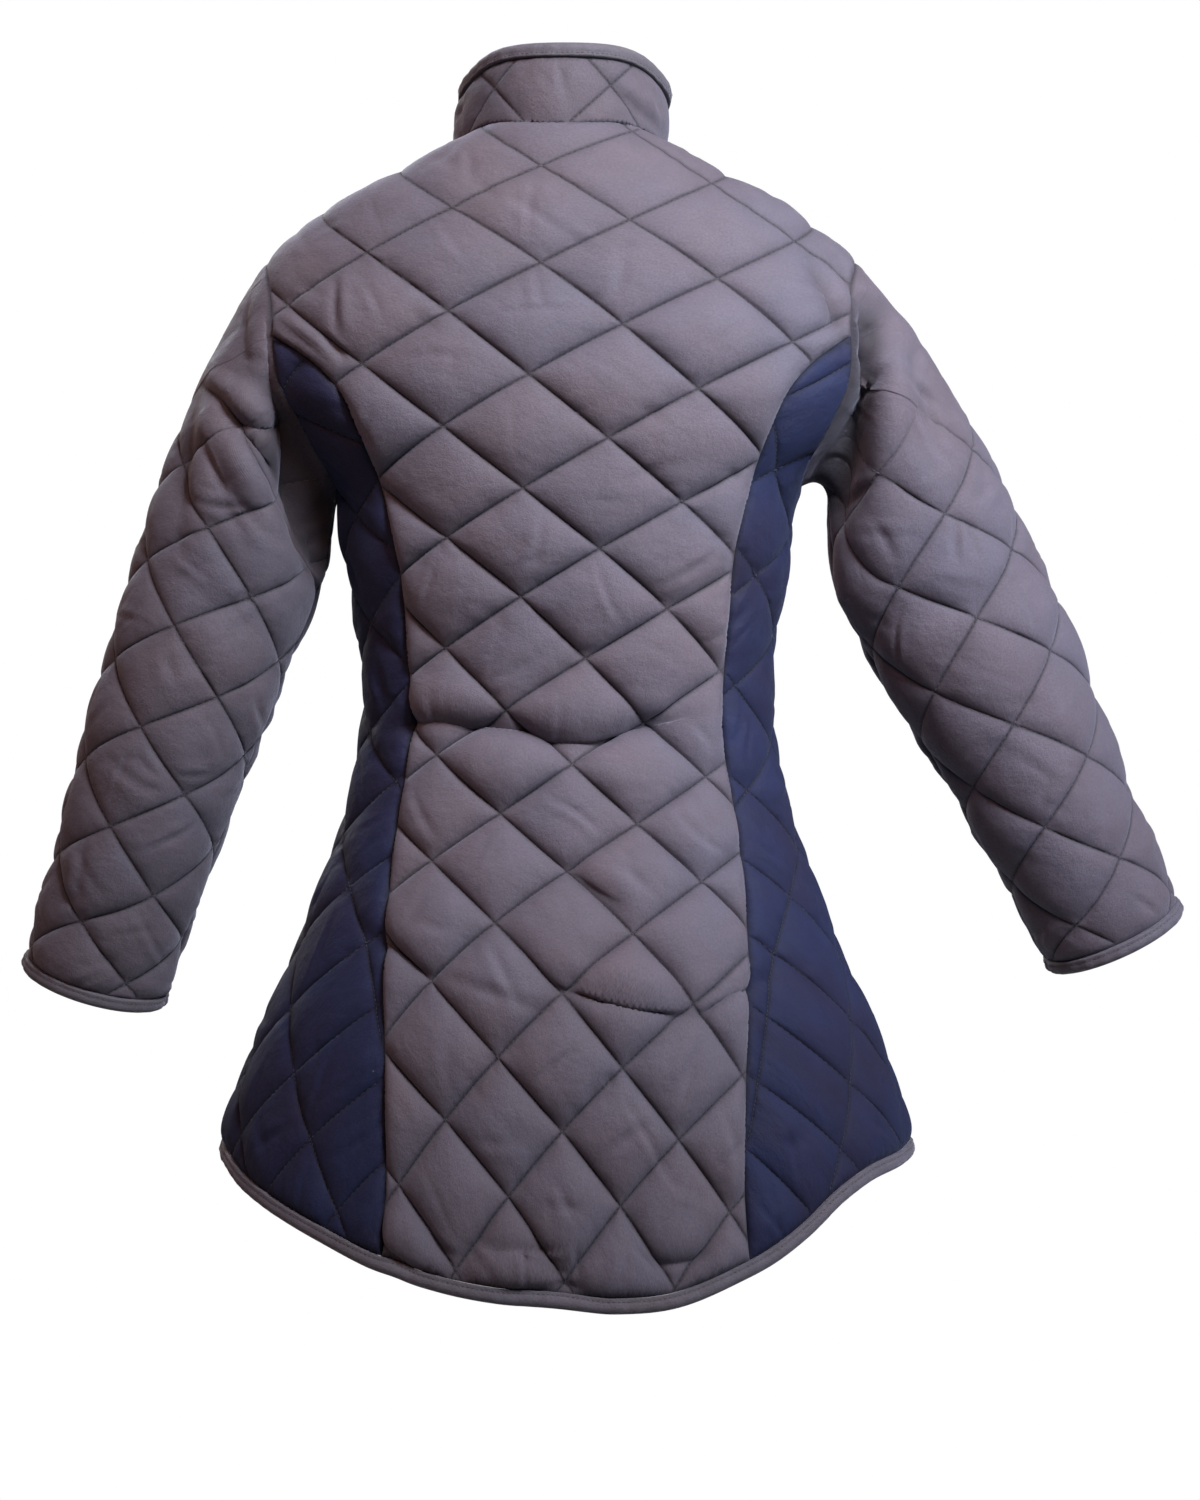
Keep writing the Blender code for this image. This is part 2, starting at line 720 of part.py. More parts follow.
def front_edge_run():
    start = front_neck_angle()
    top = float(neck_z(start))
    bottom = float(hem_z(FRONT_MIDDLE))
    levels = even_steps(top, bottom, top - bottom)
    angles = angle_at(levels, TAPE_WIDTH + SEAM_GAP, False)
    levels[-1] = float(hem_z(angles[-1]))
    return angles, levels


def other_side(run):
    angles, levels = run
    return mirrored(angles), levels


def backwards(run):
    return run[0][::-1], run[1][::-1]


def right_back_seam(run):
    """The right seam mirrors the left one down to its own height at the hem."""
    angles, levels = other_side(run)
    levels = levels.copy()
    levels[-1] = float(hem_z(angles[-1]))
    return angles, levels


def back_outline():
    left = princess(True)
    right = right_back_seam(left)
    outline = Outline()
    neck = neck_angles(0.0, HALF_TURN)
    outline.add(neck, neck_z(neck))
    outline.add(*other_side(shoulder_run()))
    outline.add(*other_side(armhole_run(0, JOIN_STEPS)))
    outline.add(*right)
    outline.add(*hem_run(right[0][-1], left[0][-1]))
    outline.add(*backwards(left))
    outline.add(*armhole_run(JOIN_STEPS, 0))
    outline.add(*backwards(shoulder_run()))
    return outline.arrays()


def side_runs(side):
    back = princess(True)
    front = princess(False)
    hole = armhole_run(ARMHOLE_STEPS - JOIN_STEPS, JOIN_STEPS)
    if side == "left":
        return back, front, hole
    front = other_side(front)
    return right_back_seam(back), front, other_side(hole)


def side_outline(side):
    back, front, hole = side_runs(side)
    turns = -360.0 if front[0][-1] - back[0][-1] > HALF_TURN else 0.0
    outline = Outline()
    outline.add(*back)
    outline.add(*hem_run(back[0][-1], front[0][-1] + turns))
    outline.add(*backwards((front[0] + turns, front[1])))
    outline.add(*hole)
    return outline.arrays()


def front_outline(side):
    edge = front_edge_run()
    seam = princess(False)
    neck = neck_angles(0.0, edge[0][0])
    runs = [
        (neck, neck_z(neck)),
        edge,
        hem_run(edge[0][-1], seam[0][-1]),
        backwards(seam),
        armhole_run(ARMHOLE_STEPS - JOIN_STEPS, ARMHOLE_STEPS),
        backwards(shoulder_run()),
    ]
    outline = Outline()
    for run in runs:
        outline.add(*(run if side == "left" else other_side(run)))
    return outline.arrays()


def collar_end_run():
    """Left front end of the collar, as far from the middle plane as the front's edge is."""
    heights = np.linspace(0.0, 1.0, COLLAR_END_STEPS + 1)
    angles = np.full(len(heights), front_neck_angle())
    for _ in range(8):
        reach = (collar_point(angles, heights) - collar_stance(angles, heights))[:, 0]
        angles = FRONT_MIDDLE + (angles - FRONT_MIDDLE) * (TAPE_WIDTH + SEAM_GAP) / reach
    return angles, heights


def collar_runs():
    """Angles along the collar's lower and upper edge, from its left end to its right end."""
    end = collar_end_run()[0]
    left = neck_angles(0.0, front_neck_angle())[::-1]
    lower = np.concatenate([left[:-1], neck_angles(0.0, HALF_TURN)[:-1], mirrored(left[::-1])])
    upper = lower.copy()
    upper[0] = end[-1]
    upper[-1] = mirrored(end[-1])
    return lower, upper


def collar_outline():
    lower, upper = collar_runs()
    end = collar_end_run()
    outline = Outline()
    outline.add(lower, 0 * lower)
    outline.add(*other_side(end))
    outline.add(upper[::-1], 0 * upper + 1.0)
    outline.add(*backwards(end))
    return outline.arrays()


def sleeve_outline(sleeve):
    seam = HALF_TURN
    cap = np.linspace(-seam, seam, ARMHOLE_STEPS + 1)
    start = sleeve.start(cap)[0]
    cuff = np.linspace(seam, -seam, ARMHOLE_STEPS + 1)
    seam_levels = even_steps(float(start[-1]), sleeve.cuff(), sleeve.cuff() - float(start[-1]))
    outline = Outline()
    outline.add(cap, start)
    outline.add(np.full(len(seam_levels), seam), seam_levels)
    outline.add(cuff, np.full(len(cuff), sleeve.cuff()))
    outline.add(np.full(len(seam_levels), -seam), seam_levels[::-1])
    return outline.arrays()


def distance_to(points, loop):
    """Distance of flat points to a closed loop, and whether they lie inside it."""
    start = loop
    span = np.roll(loop, -1, axis=0) - start
    offset = points[:, None, :] - start[None, :, :]
    share = np.clip(np.sum(offset * span, axis=2) / np.sum(span * span, axis=1), 0, 1)
    gaps = np.linalg.norm(offset - share[..., None] * span, axis=2)
    above = start[None, :, 1] > points[:, None, 1]
    crosses = above != np.roll(above, -1, axis=1)
    rise = np.where(span[:, 1] == 0, 1.0, span[:, 1])
    meet = start[:, 0] + (points[:, None, 1] - start[None, :, 1]) / rise * span[:, 0]
    inside = np.sum(crosses & (points[:, None, 0] < meet), axis=1) % 2 == 1
    return gaps.min(axis=1), inside


def puff(share):
    return np.abs(np.sin(np.pi * share)) ** PUFF_POWER


def winding_of(loop):
    after = np.roll(loop, -1, axis=0)
    return 1 if np.sum(loop[:, 0] * after[:, 1] - loop[:, 1] * after[:, 0]) > 0 else -1


def faces_within(faces, loop):
    """Faces reached from the inner side of the outline's edges without crossing the outline."""
    count = len(loop)
    owner = {}
    for number, face in enumerate(faces):
        for place, corner in enumerate(face):
            owner[(corner, face[(place + 1) % 3])] = number
    step = winding_of(loop)
    rim = [(place, (place + 1) % count) for place in range(count)]
    waiting = [owner[(a, b) if step > 0 else (b, a)] for a, b in rim]
    border = set(rim) | {(b, a) for a, b in rim}
    found = set()
    while waiting:
        number = waiting.pop()
        if number in found:
            continue
        found.add(number)
        face = faces[number]
        for place, corner in enumerate(face):
            edge = (face[(place + 1) % 3], corner)
            if edge not in border and edge in owner:
                waiting.append(owner[edge])
    return [faces[number] for number in sorted(found)]


def triangles_inside(loop, points, edges):
    """Triangles of a flat outline with inner points and inner lines."""
    count = len(loop)
    coords = [tuple(p) for p in loop] + [tuple(p) for p in points]
    lines = [(place, (place + 1) % count) for place in range(count)]
    lines += [(count + a, count + b) for a, b in edges]
    made = delaunay_2d_cdt(coords, lines, [], 0, 1e-7, True)
    sources = [min(found) if found else -1 for found in made[3]]
    if min(sources) < 0 or len(made[0]) != len(coords):
        raise ValueError("a quilting line crosses the outline")
    faces = [tuple(sources[k] for k in face) for face in made[2]]
    return faces_within(faces, loop)


def quilt_lattice(loop, cell):
    """Inner points on a diamond lattice, with the edges that lie on its stitched lines."""
    flat = loop / np.array(cell)
    sums = flat[:, 0] + flat[:, 1]
    gaps = flat[:, 0] - flat[:, 1]
    rows = np.arange(math.floor(sums.min()) * DIAMOND_STEPS, math.ceil(sums.max()) * DIAMOND_STEPS + 1)
    columns = np.arange(math.floor(gaps.min()) * DIAMOND_STEPS, math.ceil(gaps.max()) * DIAMOND_STEPS + 1)
    grid_row, grid_column = np.meshgrid(rows, columns, indexing="ij")
    index = np.stack([grid_row.ravel(), grid_column.ravel()], axis=1)
    sums = index[:, 0] / DIAMOND_STEPS
    gaps = index[:, 1] / DIAMOND_STEPS
    points = np.stack([(sums + gaps) / 2 * cell[0], (sums - gaps) / 2 * cell[1]], axis=1)
    distance, inside = distance_to(points, loop)
    keep = inside & (distance > EDGE_MARGIN)
    number = {tuple(pair): place for place, pair in enumerate(index[keep])}
    edges = []
    for (row, place), here in number.items():
        if row % DIAMOND_STEPS == 0 and (row, place + 1) in number:
            edges.append((here, number[(row, place + 1)]))
        if place % DIAMOND_STEPS == 0 and (row + 1, place) in number:
            edges.append((here, number[(row + 1, place)]))
    kept = points[keep]
    if edges:
        middles = np.array([(kept[a] + kept[b]) / 2 for a, b in edges])
        distance, inside = distance_to(middles, loop)
        edges = [edge for edge, near, within in zip(edges, distance, inside) if within and near > EDGE_MARGIN / 2]
    return kept, edges


def lining_points(loop):
    low = loop.min(axis=0)
    high = loop.max(axis=0)
    rows = np.arange(low[1], high[1], LINING_STEP * math.sin(math.radians(60)))
    points = []
    for number, height in enumerate(rows):
        shift = LINING_STEP / 2 * (number % 2)
        points.extend((across + shift, height) for across in np.arange(low[0], high[0], LINING_STEP))
    points = np.array(points)
    distance, inside = distance_to(points, loop)
    return points[inside & (distance > LINING_STEP * 0.35)]


def inward_shift(points, normals):
    """Unit steps into the panel, square to both edges at each rim point."""
    before = unit(points - np.roll(points, 1, axis=0))
    after = unit(np.roll(points, -1, axis=0) - points)
    first = unit(np.cross(normals, before))
    second = unit(np.cross(normals, after))
    scale = np.maximum(1 + np.sum(first * second, axis=1, keepdims=True), 0.5)
    return (first + second) / scale


def material(entry):
    name, colour = entry
    found = bpy.data.materials.get(name)
    if found:
        return found
    made = bpy.data.materials.new(name)
    made.use_nodes = True
    shader = made.node_tree.nodes["Principled BSDF"]
    shader.inputs["Base Color"].default_value = colour
    shader.inputs["Roughness"].default_value = 0.85
    shader.inputs["Metallic"].default_value = 0.0
    return made


def add_object(name, points, faces, cloth, parent):
    mesh = bpy.data.meshes.new(name)
    mesh.from_pydata([tuple(p) for p in points], [], faces)
    mesh.materials.append(material(cloth))
    mesh.update()
    mesh.shade_smooth()
    mesh.set_sharp_from_angle(angle=math.radians(50))
    made = bpy.data.objects.new(name, mesh)
    made.parent = parent
    bpy.context.scene.collection.objects.link(made)
    return made


def quilted_panel(name, chart, outline, cloth, parent):
    """Padded wall over a panel's outline, puffed up between its quilting lines."""
    loop = chart.flat(*outline) * np.array(chart.cell)
    base, normals = chart.surface(*outline)
    keys = [rim_key(point) for point in base]
    rims = np.array([RIMS.get(key, normal) for key, normal in zip(keys, normals)])
    shift = inward_shift(base, normals)
    middle = base.mean(axis=0)
    if np.sum(shift * (middle - base)) < 0:
        shift = -shift
    base = base + shift * SEAM_GAP / 2
    quilt, edges = quilt_lattice(loop, chart.cell)
    flat = quilt / np.array(chart.cell)
    places = chart.place(flat)
    top, top_normals = chart.surface(*places)
    distance, _ = distance_to(quilt, loop)
    raised = puff(flat[:, 0] + flat[:, 1]) * puff(flat[:, 0] - flat[:, 1]) * chart.loft(*places)
    thickness = STITCH_THICKNESS + (PUFF_THICKNESS - STITCH_THICKNESS) * raised
    near = np.clip(distance / SEAM_FADE, 0, 1)
    thickness = SEAM_THICKNESS + (thickness - SEAM_THICKNESS) * near * near * (3 - 2 * near)
    lining = lining_points(loop)
    inner, _ = chart.surface(*chart.place(lining / np.array(chart.cell)))
    outer_faces = triangles_inside(loop, quilt, edges)
    inner_faces = triangles_inside(loop, lining, [])
    count = len(loop)
    points = np.concatenate([base + rims * SEAM_THICKNESS, top + top_normals * thickness[:, None], base, inner])
    start = count + len(quilt)
    sample = outer_faces[len(outer_faces) // 2]
    corners = [points[k] for k in sample]
    across = np.cross(corners[1] - corners[0], corners[2] - corners[0])
    outward = float(across @ np.concatenate([normals, top_normals])[sample[0]]) > 0
    faces = []
    for face in outer_faces:
        faces.append(face if outward else face[::-1])
    for face in inner_faces:
        turned = face[::-1] if outward else face
        faces.append(tuple(start + k for k in turned))
    forward = outward == (winding_of(loop) > 0)
    for place in range(count):
        after = (place + 1) % count
        if keys[place] < keys[after]:
            wall = [(place, start + place, start + after), (place, start + after, after)]
        else:
            wall = [(place, start + place, after), (start + place, start + after, after)]
        faces.extend(wall if forward else [face[::-1] for face in wall])
    return add_object(name, points, faces, cloth, parent)


def tape(name, points, outward, normals, closed, parent):
    """Folded binding tape along an edge, a little thicker than the wall that it covers."""
    count = len(points)
    ring = len(TAPE_PROFILE)
    verts = []
    for point, away, up in zip(points, outward, normals):
        for reach, height in TAPE_PROFILE:
            verts.append(point + away * (reach + SEAM_GAP / 2) + up * height)
    faces = []
    keys = [rim_key(point) for point in points]
    for place in range(count if closed else count - 1):
        after = (place + 1) % count
        for corner in range(ring):
            beyond = (corner + 1) % ring
            near = (place * ring + corner, place * ring + beyond)
            far = (after * ring + corner, after * ring + beyond)
            if keys[place] < keys[after]:
                faces.extend([(near[0], far[0], near[1]), (far[0], far[1], near[1])])
            else:
                faces.extend([(near[0], far[0], far[1]), (near[0], far[1], near[1])])
    if not closed:
        faces.append(tuple(range(ring)))
        faces.append(tuple((count - 1) * ring + k for k in reversed(range(ring))))
    along = points[1] - points[0]
    if float(np.cross(outward[0], normals[0]) @ along) < 0:
        faces = [face[::-1] for face in faces]
    return add_object(name, verts, faces, TAPE, parent)


def edge_frame(points, normals, closed):
    """Directions that point away from the panel along an edge, square to its normals."""
    if closed:
        along = np.roll(points, -1, axis=0) - np.roll(points, 1, axis=0)
    else:
        along = np.gradient(points, axis=0)
    return unit(np.cross(unit(along), normals))


def facing(vectors, wanted):
    """The same vectors, turned over together where they point against a wanted direction."""
    return vectors if np.sum(vectors * wanted) > 0 else -vectors


def trim_ends(points, amount):
    points = points.copy()
    points[0] += unit(points[1] - points[0]) * amount
    points[-1] += unit(points[-2] - points[-1]) * amount
    return points


def square_ends(*fields):
    """Both ends of an edge lie in planes that face straight across the front opening."""
    for vectors in fields:
        for place in (0, -1):
            vectors[place, 0] = 0.0
            vectors[place] = unit(vectors[place])


def hem_tape(parent):
    edge = front_edge_run()
    back_left = princess(True)
    front_left = princess(False)
    right_back = right_back_seam(back_left)
    stops = [edge[0][-1], front_left[0][-1], back_left[0][-1], right_back[0][-1],
             mirrored(front_left[0][-1]), mirrored(edge[0][-1])]
    angles = [hem_run(a, b)[0][:-1] for a, b in zip(stops, stops[1:])]
    angles = np.concatenate(angles + [[stops[-1]]])
    levels = hem_z(angles)
    points = body_point(angles, levels)
    normals = body_normal(angles, levels)
    away = facing(edge_frame(points, normals, False), np.array([0.0, 0.0, -1.0]))
    square_ends(away, normals)
    tape("binding_hem", trim_ends(points, SEAM_GAP / 2), away, normals, False, parent)


def collar_tape(parent):
    angles = collar_runs()[1]
    points = collar_point(angles, 0 * angles + 1.0)
    normals = collar_normal(angles, 0 * angles + 1.0)
    away = facing(edge_frame(points, normals, False), np.array([0.0, 0.0, 1.0]))
    square_ends(away, normals)
    tape("binding_collar", trim_ends(points, SEAM_GAP / 2), away, normals, False, parent)


def cuff_tape(sleeve, parent):
    angles = np.linspace(-HALF_TURN, HALF_TURN, ARMHOLE_STEPS + 1)[:-1]
    down = np.full(len(angles), sleeve.cuff())
    points = sleeve.point(angles, down)
    normals = sleeve.normal(angles, down)
    away = facing(edge_frame(points, normals, True), sleeve.direction(sleeve.cuff()) * [sleeve.sign, 1, 1])
    tape("binding_cuff_" + sleeve.side, points, away, normals, True, parent)


def front_tape(side, parent):
    """One tape runs up a front's edge and on over the end of the collar."""
    angles, levels = front_edge_run()
    end = collar_end_run()
    if side == "right":
        angles = mirrored(angles)
        end = other_side(end)
    body = body_point(angles, levels)[::-1]
    body_normals = body_normal(angles, levels)[::-1]
    collar = collar_point(*end)
    collar_normals = collar_normal(*end)
    meeting = unit(body_normals[-1] + collar_normals[0])
    points = np.concatenate([body[:1] + unit(body[:1] - body[1:2]) * TAPE_WIDTH, body,
                             collar[1:], collar[-1:] + unit(collar[-1:] - collar[-2:-1]) * TAPE_WIDTH])
    normals = np.concatenate([body_normals[:1], body_normals[:-1], [meeting],
                              collar_normals[1:], collar_normals[-1:]])
    normals[:, 0] = 0.0
    normals = unit(normals)
    away = np.tile([-1.0, 0.0, 0.0], (len(points), 1))
    reach = TAPE_WIDTH + SEAM_GAP
    if side == "right":
        reach = -reach
        away = -away
    collar_step = collar_stance(*end)[:, 0]
    body_step = stance(levels)[::-1, 0]
    points[:, 0] = reach + np.concatenate([body_step[:1], body_step, collar_step[1:], collar_step[-1:]])
    tape("binding_front_" + side, points, away, normals, False, parent)


def share_mitres(sleeves):
    """The walls meet at the armholes and the neckline under shared mitres."""
    angles = collar_runs()[0]
    levels = neck_z(angles)
    share_rim(body_point(angles, levels), body_normal(angles, levels), collar_normal(angles, 0 * angles))
    for sleeve in sleeves:
        turns = np.linspace(-HALF_TURN, HALF_TURN, ARMHOLE_STEPS + 1)
        angles, levels = armhole(turns)
        if sleeve.side == "right":
            angles = mirrored(angles)
        start = sleeve.start(turns)[0]
        share_rim(body_point(angles, levels), body_normal(angles, levels), sleeve.normal(turns, start))


def build():
    for item in list(bpy.data.objects):
        bpy.data.objects.remove(item, do_unlink=True)
    parent = bpy.data.objects.new("gambeson", None)
    bpy.context.scene.collection.objects.link(parent)
    sleeves = [Sleeve("left"), Sleeve("right")]
    share_mitres(sleeves)
    outlines = {
        "back": back_outline(),
        "side_left": side_outline("left"),
        "side_right": side_outline("right"),
        "front_left": front_outline("left"),
        "front_right": front_outline("right"),
    }
    for name, middle, slope, shift, stretch, row_phase in BODY_CHARTS:
        chart = BodyChart(middle, slope, shift, stretch, row_phase)
        quilted_panel(name, chart, outlines[name], NAVY if name.startswith("side") else GREY, parent)
    quilted_panel("collar", CollarChart(), collar_outline(), GREY, parent)
    for sleeve in sleeves:
        width, height, turn, across, down = SLEEVE_LATTICES[sleeve.side]
        chart = SleeveChart(sleeve, width, height, turn * sleeve.sign, (across, down))
        quilted_panel("sleeve_" + sleeve.side, chart, sleeve_outline(sleeve), GREY, parent)
        cuff_tape(sleeve, parent)
    hem_tape(parent)
    collar_tape(parent)
    front_tape("left", parent)
    front_tape("right", parent)


build()
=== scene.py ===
import math

import bpy
import numpy as np
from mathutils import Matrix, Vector
from mathutils.kdtree import KDTree
from mathutils.geometry import delaunay_2d_cdt


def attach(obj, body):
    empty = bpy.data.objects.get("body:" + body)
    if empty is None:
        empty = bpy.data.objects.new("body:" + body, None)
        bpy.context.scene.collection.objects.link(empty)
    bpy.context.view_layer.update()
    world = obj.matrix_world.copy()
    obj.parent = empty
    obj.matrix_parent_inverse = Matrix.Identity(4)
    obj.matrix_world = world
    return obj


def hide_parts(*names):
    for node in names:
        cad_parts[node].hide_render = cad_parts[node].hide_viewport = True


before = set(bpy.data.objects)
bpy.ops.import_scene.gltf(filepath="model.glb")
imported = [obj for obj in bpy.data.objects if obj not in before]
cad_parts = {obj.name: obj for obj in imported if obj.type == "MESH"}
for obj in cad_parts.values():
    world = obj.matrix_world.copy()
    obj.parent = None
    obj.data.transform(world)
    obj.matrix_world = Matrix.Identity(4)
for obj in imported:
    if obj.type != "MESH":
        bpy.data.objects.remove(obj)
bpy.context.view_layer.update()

# Quilted gambeson, metres, +Z up. The wearer faces -Y, so the back of the coat is +Y.
# The outlines and the form are those of the solids; the quilting, creases, sewing and cloth are finer.

SEAM_GAP = 0.0001
SEAM_THICKNESS = 0.0022
STITCH_THICKNESS = 0.0024
PUFF_THICKNESS = 0.0102
SEAM_FADE = 0.015
OUTLINE_STEP = 0.0035
LINING_STEP = 0.009
EDGE_MARGIN = 0.0016
RIM_RING = 0.0009
LONGEST_MITRE = 1.7
STITCH_PITCH = 0.0042
STITCH_LENGTH = 0.0031
THREAD_RADIUS = 0.00028
THREAD_LIFT = 0.4
DIAMOND_SHARES = (0.0, 0.008, 0.02, 0.037, 0.06, 0.09, 0.127, 0.17, 0.217, 0.266, 0.315, 0.362, 0.408, 0.454)

TAPE_WIDTH = 0.0105
TAPE_PROFILE = (
    # outward, height
    (0.0000, 0.0000),
    (0.0000, 0.0024),
    (0.0001, 0.0046),
    (0.0006, 0.0052),
    (0.0016, 0.0054),
    (0.0026, 0.0051),
    (0.0040, 0.0056),
    (0.0062, 0.0059),
    (0.0082, 0.0052),
    (0.0097, 0.0037),
    (0.0105, 0.0018),
    (0.0101, -0.0002),
    (0.0085, -0.0014),
    (0.0055, -0.0018),
    (0.0015, -0.0016),
    (0.0003, -0.0010),
)

# Level rings of the body's form, from the neck down to below the hem.
SECTION_COLUMNS = ("z", "half_width", "back", "front", "squareness")
SECTIONS = (
    (0.010, 0.042, 0.040, 0.028, 2.0),
    (0.000, 0.054, 0.049, 0.038, 2.0),
    (-0.010, 0.067, 0.057, 0.047, 2.0),
    (-0.020, 0.0855, 0.064, 0.055, 2.0),
    (-0.032, 0.108, 0.071, 0.064, 2.0),
    (-0.045, 0.1325, 0.078, 0.073, 2.0),
    (-0.062, 0.164, 0.086, 0.082, 2.0),
    (-0.080, 0.187, 0.092, 0.090, 2.0),
    (-0.100, 0.206, 0.097, 0.098, 2.05),
    (-0.130, 0.226, 0.102, 0.107, 2.1),
    (-0.160, 0.233, 0.107, 0.115, 2.2),
    (-0.190, 0.226, 0.110, 0.123, 2.25),
    (-0.220, 0.198, 0.111, 0.129, 2.25),
    (-0.255, 0.164, 0.109, 0.132, 2.2),
    (-0.300, 0.1565, 0.103, 0.127, 2.2),
    (-0.340, 0.149, 0.097, 0.119, 2.2),
    (-0.380, 0.143, 0.091, 0.111, 2.2),
    (-0.414, 0.1415, 0.088, 0.107, 2.2),
    (-0.450, 0.146, 0.090, 0.107, 2.2),
    (-0.486, 0.1525, 0.097, 0.111, 2.2),
    (-0.522, 0.164, 0.107, 0.117, 2.15),
    (-0.558, 0.177, 0.118, 0.124, 2.15),
    (-0.594, 0.191, 0.129, 0.131, 2.1),
    (-0.630, 0.208, 0.139, 0.138, 2.1),
    (-0.666, 0.224, 0.148, 0.145, 2.1),
    (-0.702, 0.238, 0.156, 0.152, 2.1),
    (-0.738, 0.2455, 0.164, 0.158, 2.1),
    (-0.790, 0.251, 0.172, 0.166, 2.1),
    (-0.860, 0.255, 0.181, 0.174, 2.1),
)

# The wearer stands a little to their left at the shoulders.
STANCE_COLUMNS = ("z", "sideways")
STANCE = (
    (0.060, 0.0035),
    (0.000, 0.0045),
    (-0.040, 0.0060),
    (-0.100, 0.0050),
    (-0.160, 0.0025),
    (-0.220, 0.0008),
    (-0.300, 0.0),
    (-0.900, 0.0),
)

# Lower edge of the coat round the ring: angle from the wearer's left side towards the back.
HEM_COLUMNS = ("angle", "z")
HEM = (
    (-130.0, -0.7835),
    (-90.0, -0.8015),
    (-50.0, -0.7835),
    (-20.0, -0.7415),
    (0.0, -0.7255),
    (10.0, -0.7305),
    (19.0, -0.7435),
    (37.0, -0.7695),
    (50.0, -0.7875),
    (63.0, -0.7990),
    (90.0, -0.8095),
    (102.0, -0.8120),
    (114.0, -0.8090),
    (127.0, -0.7940),
    (134.0, -0.7835),
    (141.0, -0.7685),
    (149.0, -0.7475),
    (156.0, -0.7355),
    (167.0, -0.7285),
    (180.0, -0.7255),
    (200.0, -0.7415),
    (230.0, -0.7835),
    (270.0, -0.8015),
    (310.0, -0.7835),
)

# Curved seams between a side panel and its back or front: distance from the middle plane.
SEAM_COLUMNS = ("z", "back", "front")
PANEL_SEAMS = (
    (-0.176, 0.174, 0.170),
    (-0.194, 0.157, 0.151),
    (-0.222, 0.142, 0.131),
    (-0.250, 0.131, 0.119),
    (-0.299, 0.118, 0.110),
    (-0.344, 0.112, 0.104),
    (-0.386, 0.109, 0.100),
    (-0.424, 0.107, 0.098),
    (-0.504, 0.1165, 0.106),
    (-0.564, 0.1205, 0.111),
    (-0.612, 0.121, 0.114),
    (-0.682, 0.122, 0.117),
    (-0.740, 0.1235, 0.120),
    (-0.800, 0.128, 0.124),
    (-0.860, 0.132, 0.128),
)

# The armhole lies on the body's form; angles run from its top round the back.
ARMHOLE_MIDDLE_Z = -0.1775
ARMHOLE_HALF_HEIGHT = 0.0775
ARMHOLE_BACK = 0.062
ARMHOLE_FRONT = 0.058
ARMHOLE_STEPS = 144
JOIN_STEPS = 30
COLLAR_END_STEPS = 12

# Neckline and collar as quadratics in the sine of the ring angle: middle, tilt and bend.
NECK_Z = (-0.010, 0.020, -0.018)
COLLAR_TOP_Z = (0.031, 0.0245, -0.0150)
COLLAR_TOP_WIDTH = 0.985
COLLAR_TOP_DEPTH = 0.94
COLLAR_TOP_STEP = -0.003
COLLAR_BOW = 0.0004

# Sleeve rings: middle of the arm, half sizes across and front to back.
SLEEVE_COLUMNS = ("x", "y", "z", "half_width", "half_depth")
SLEEVES = {
    "left": (
        (0.2395, 0.000, -0.306, 0.0615, 0.0590),
        (0.2652, -0.002, -0.378, 0.0585, 0.0570),
        (0.2902, -0.008, -0.450, 0.0550, 0.0545),
        (0.3136, -0.018, -0.522, 0.0510, 0.0515),
        (0.3265, -0.026, -0.558, 0.0495, 0.0500),
        (0.3435, -0.035, -0.6090, 0.0490, 0.0480),
        (0.3520, -0.040, -0.6360, 0.0490, 0.0475),
    ),
    "right": (
        (0.2588, 0.000, -0.306, 0.0662, 0.0600),
        (0.2912, -0.002, -0.370, 0.0648, 0.0580),
        (0.3280, -0.008, -0.440, 0.0570, 0.0550),
        (0.3658, -0.018, -0.518, 0.0505, 0.0515),
        (0.3845, -0.024, -0.553, 0.0490, 0.0500),
        (0.3955, -0.027, -0.5765, 0.0485, 0.0480),
        (0.4080, -0.031, -0.6010, 0.0485, 0.0475),
    ),
}
# How far the cap's cloth leaves the armhole sideways, at its top and under the arm.
CAP_PUSH = {"left": (0.050, 0.014), "right": (0.052, 0.085)}
# How far the cloth under the arm is lifted between the armhole and the arm.
CAP_RISE = {"left": -0.010, "right": 0.023}
CAP_RISE_TURN = 45.0

ARMHOLE_FADE = 0.012
CUFF_FADE = 0.030
LEAN_STEP = 0.002
NECK_SEAM = 0.0030
ARMHOLE_SEAM = 0.0044
TIGHTNESS = 0.38
SMOOTH_CROWN = 0.75
THINNEST = 0.0009
# Widths of the painted shade along the stitched lines and along the seams.
STITCH_PAINTED_SHADE_WIDTH = 0.0010
SEAM_PAINTED_SHADE_WIDTH = 0.0012
# Folds as deep as this get painted shadow as dark as the painted shade of a stitched line.
POCKET_DEPTH = 0.010
# Darkest share of the painted shade in the stitched lines, at the seams and in deep folds.
PAINTED_SHADE_STRENGTH = 0.70
CAP_SMOOTH = {"left": (0.09, 0.15), "right": (0.10, 0.17)}

UNDERARM_START = 90.0
UNDERARM_BLEND = 50.0
UNDERARM_LENGTH = 0.080
COLLAR_LOFT = 0.42
SHOULDER_PULL = 0.60
SHOULDER_PULL_Z = (-0.17, -0.07)

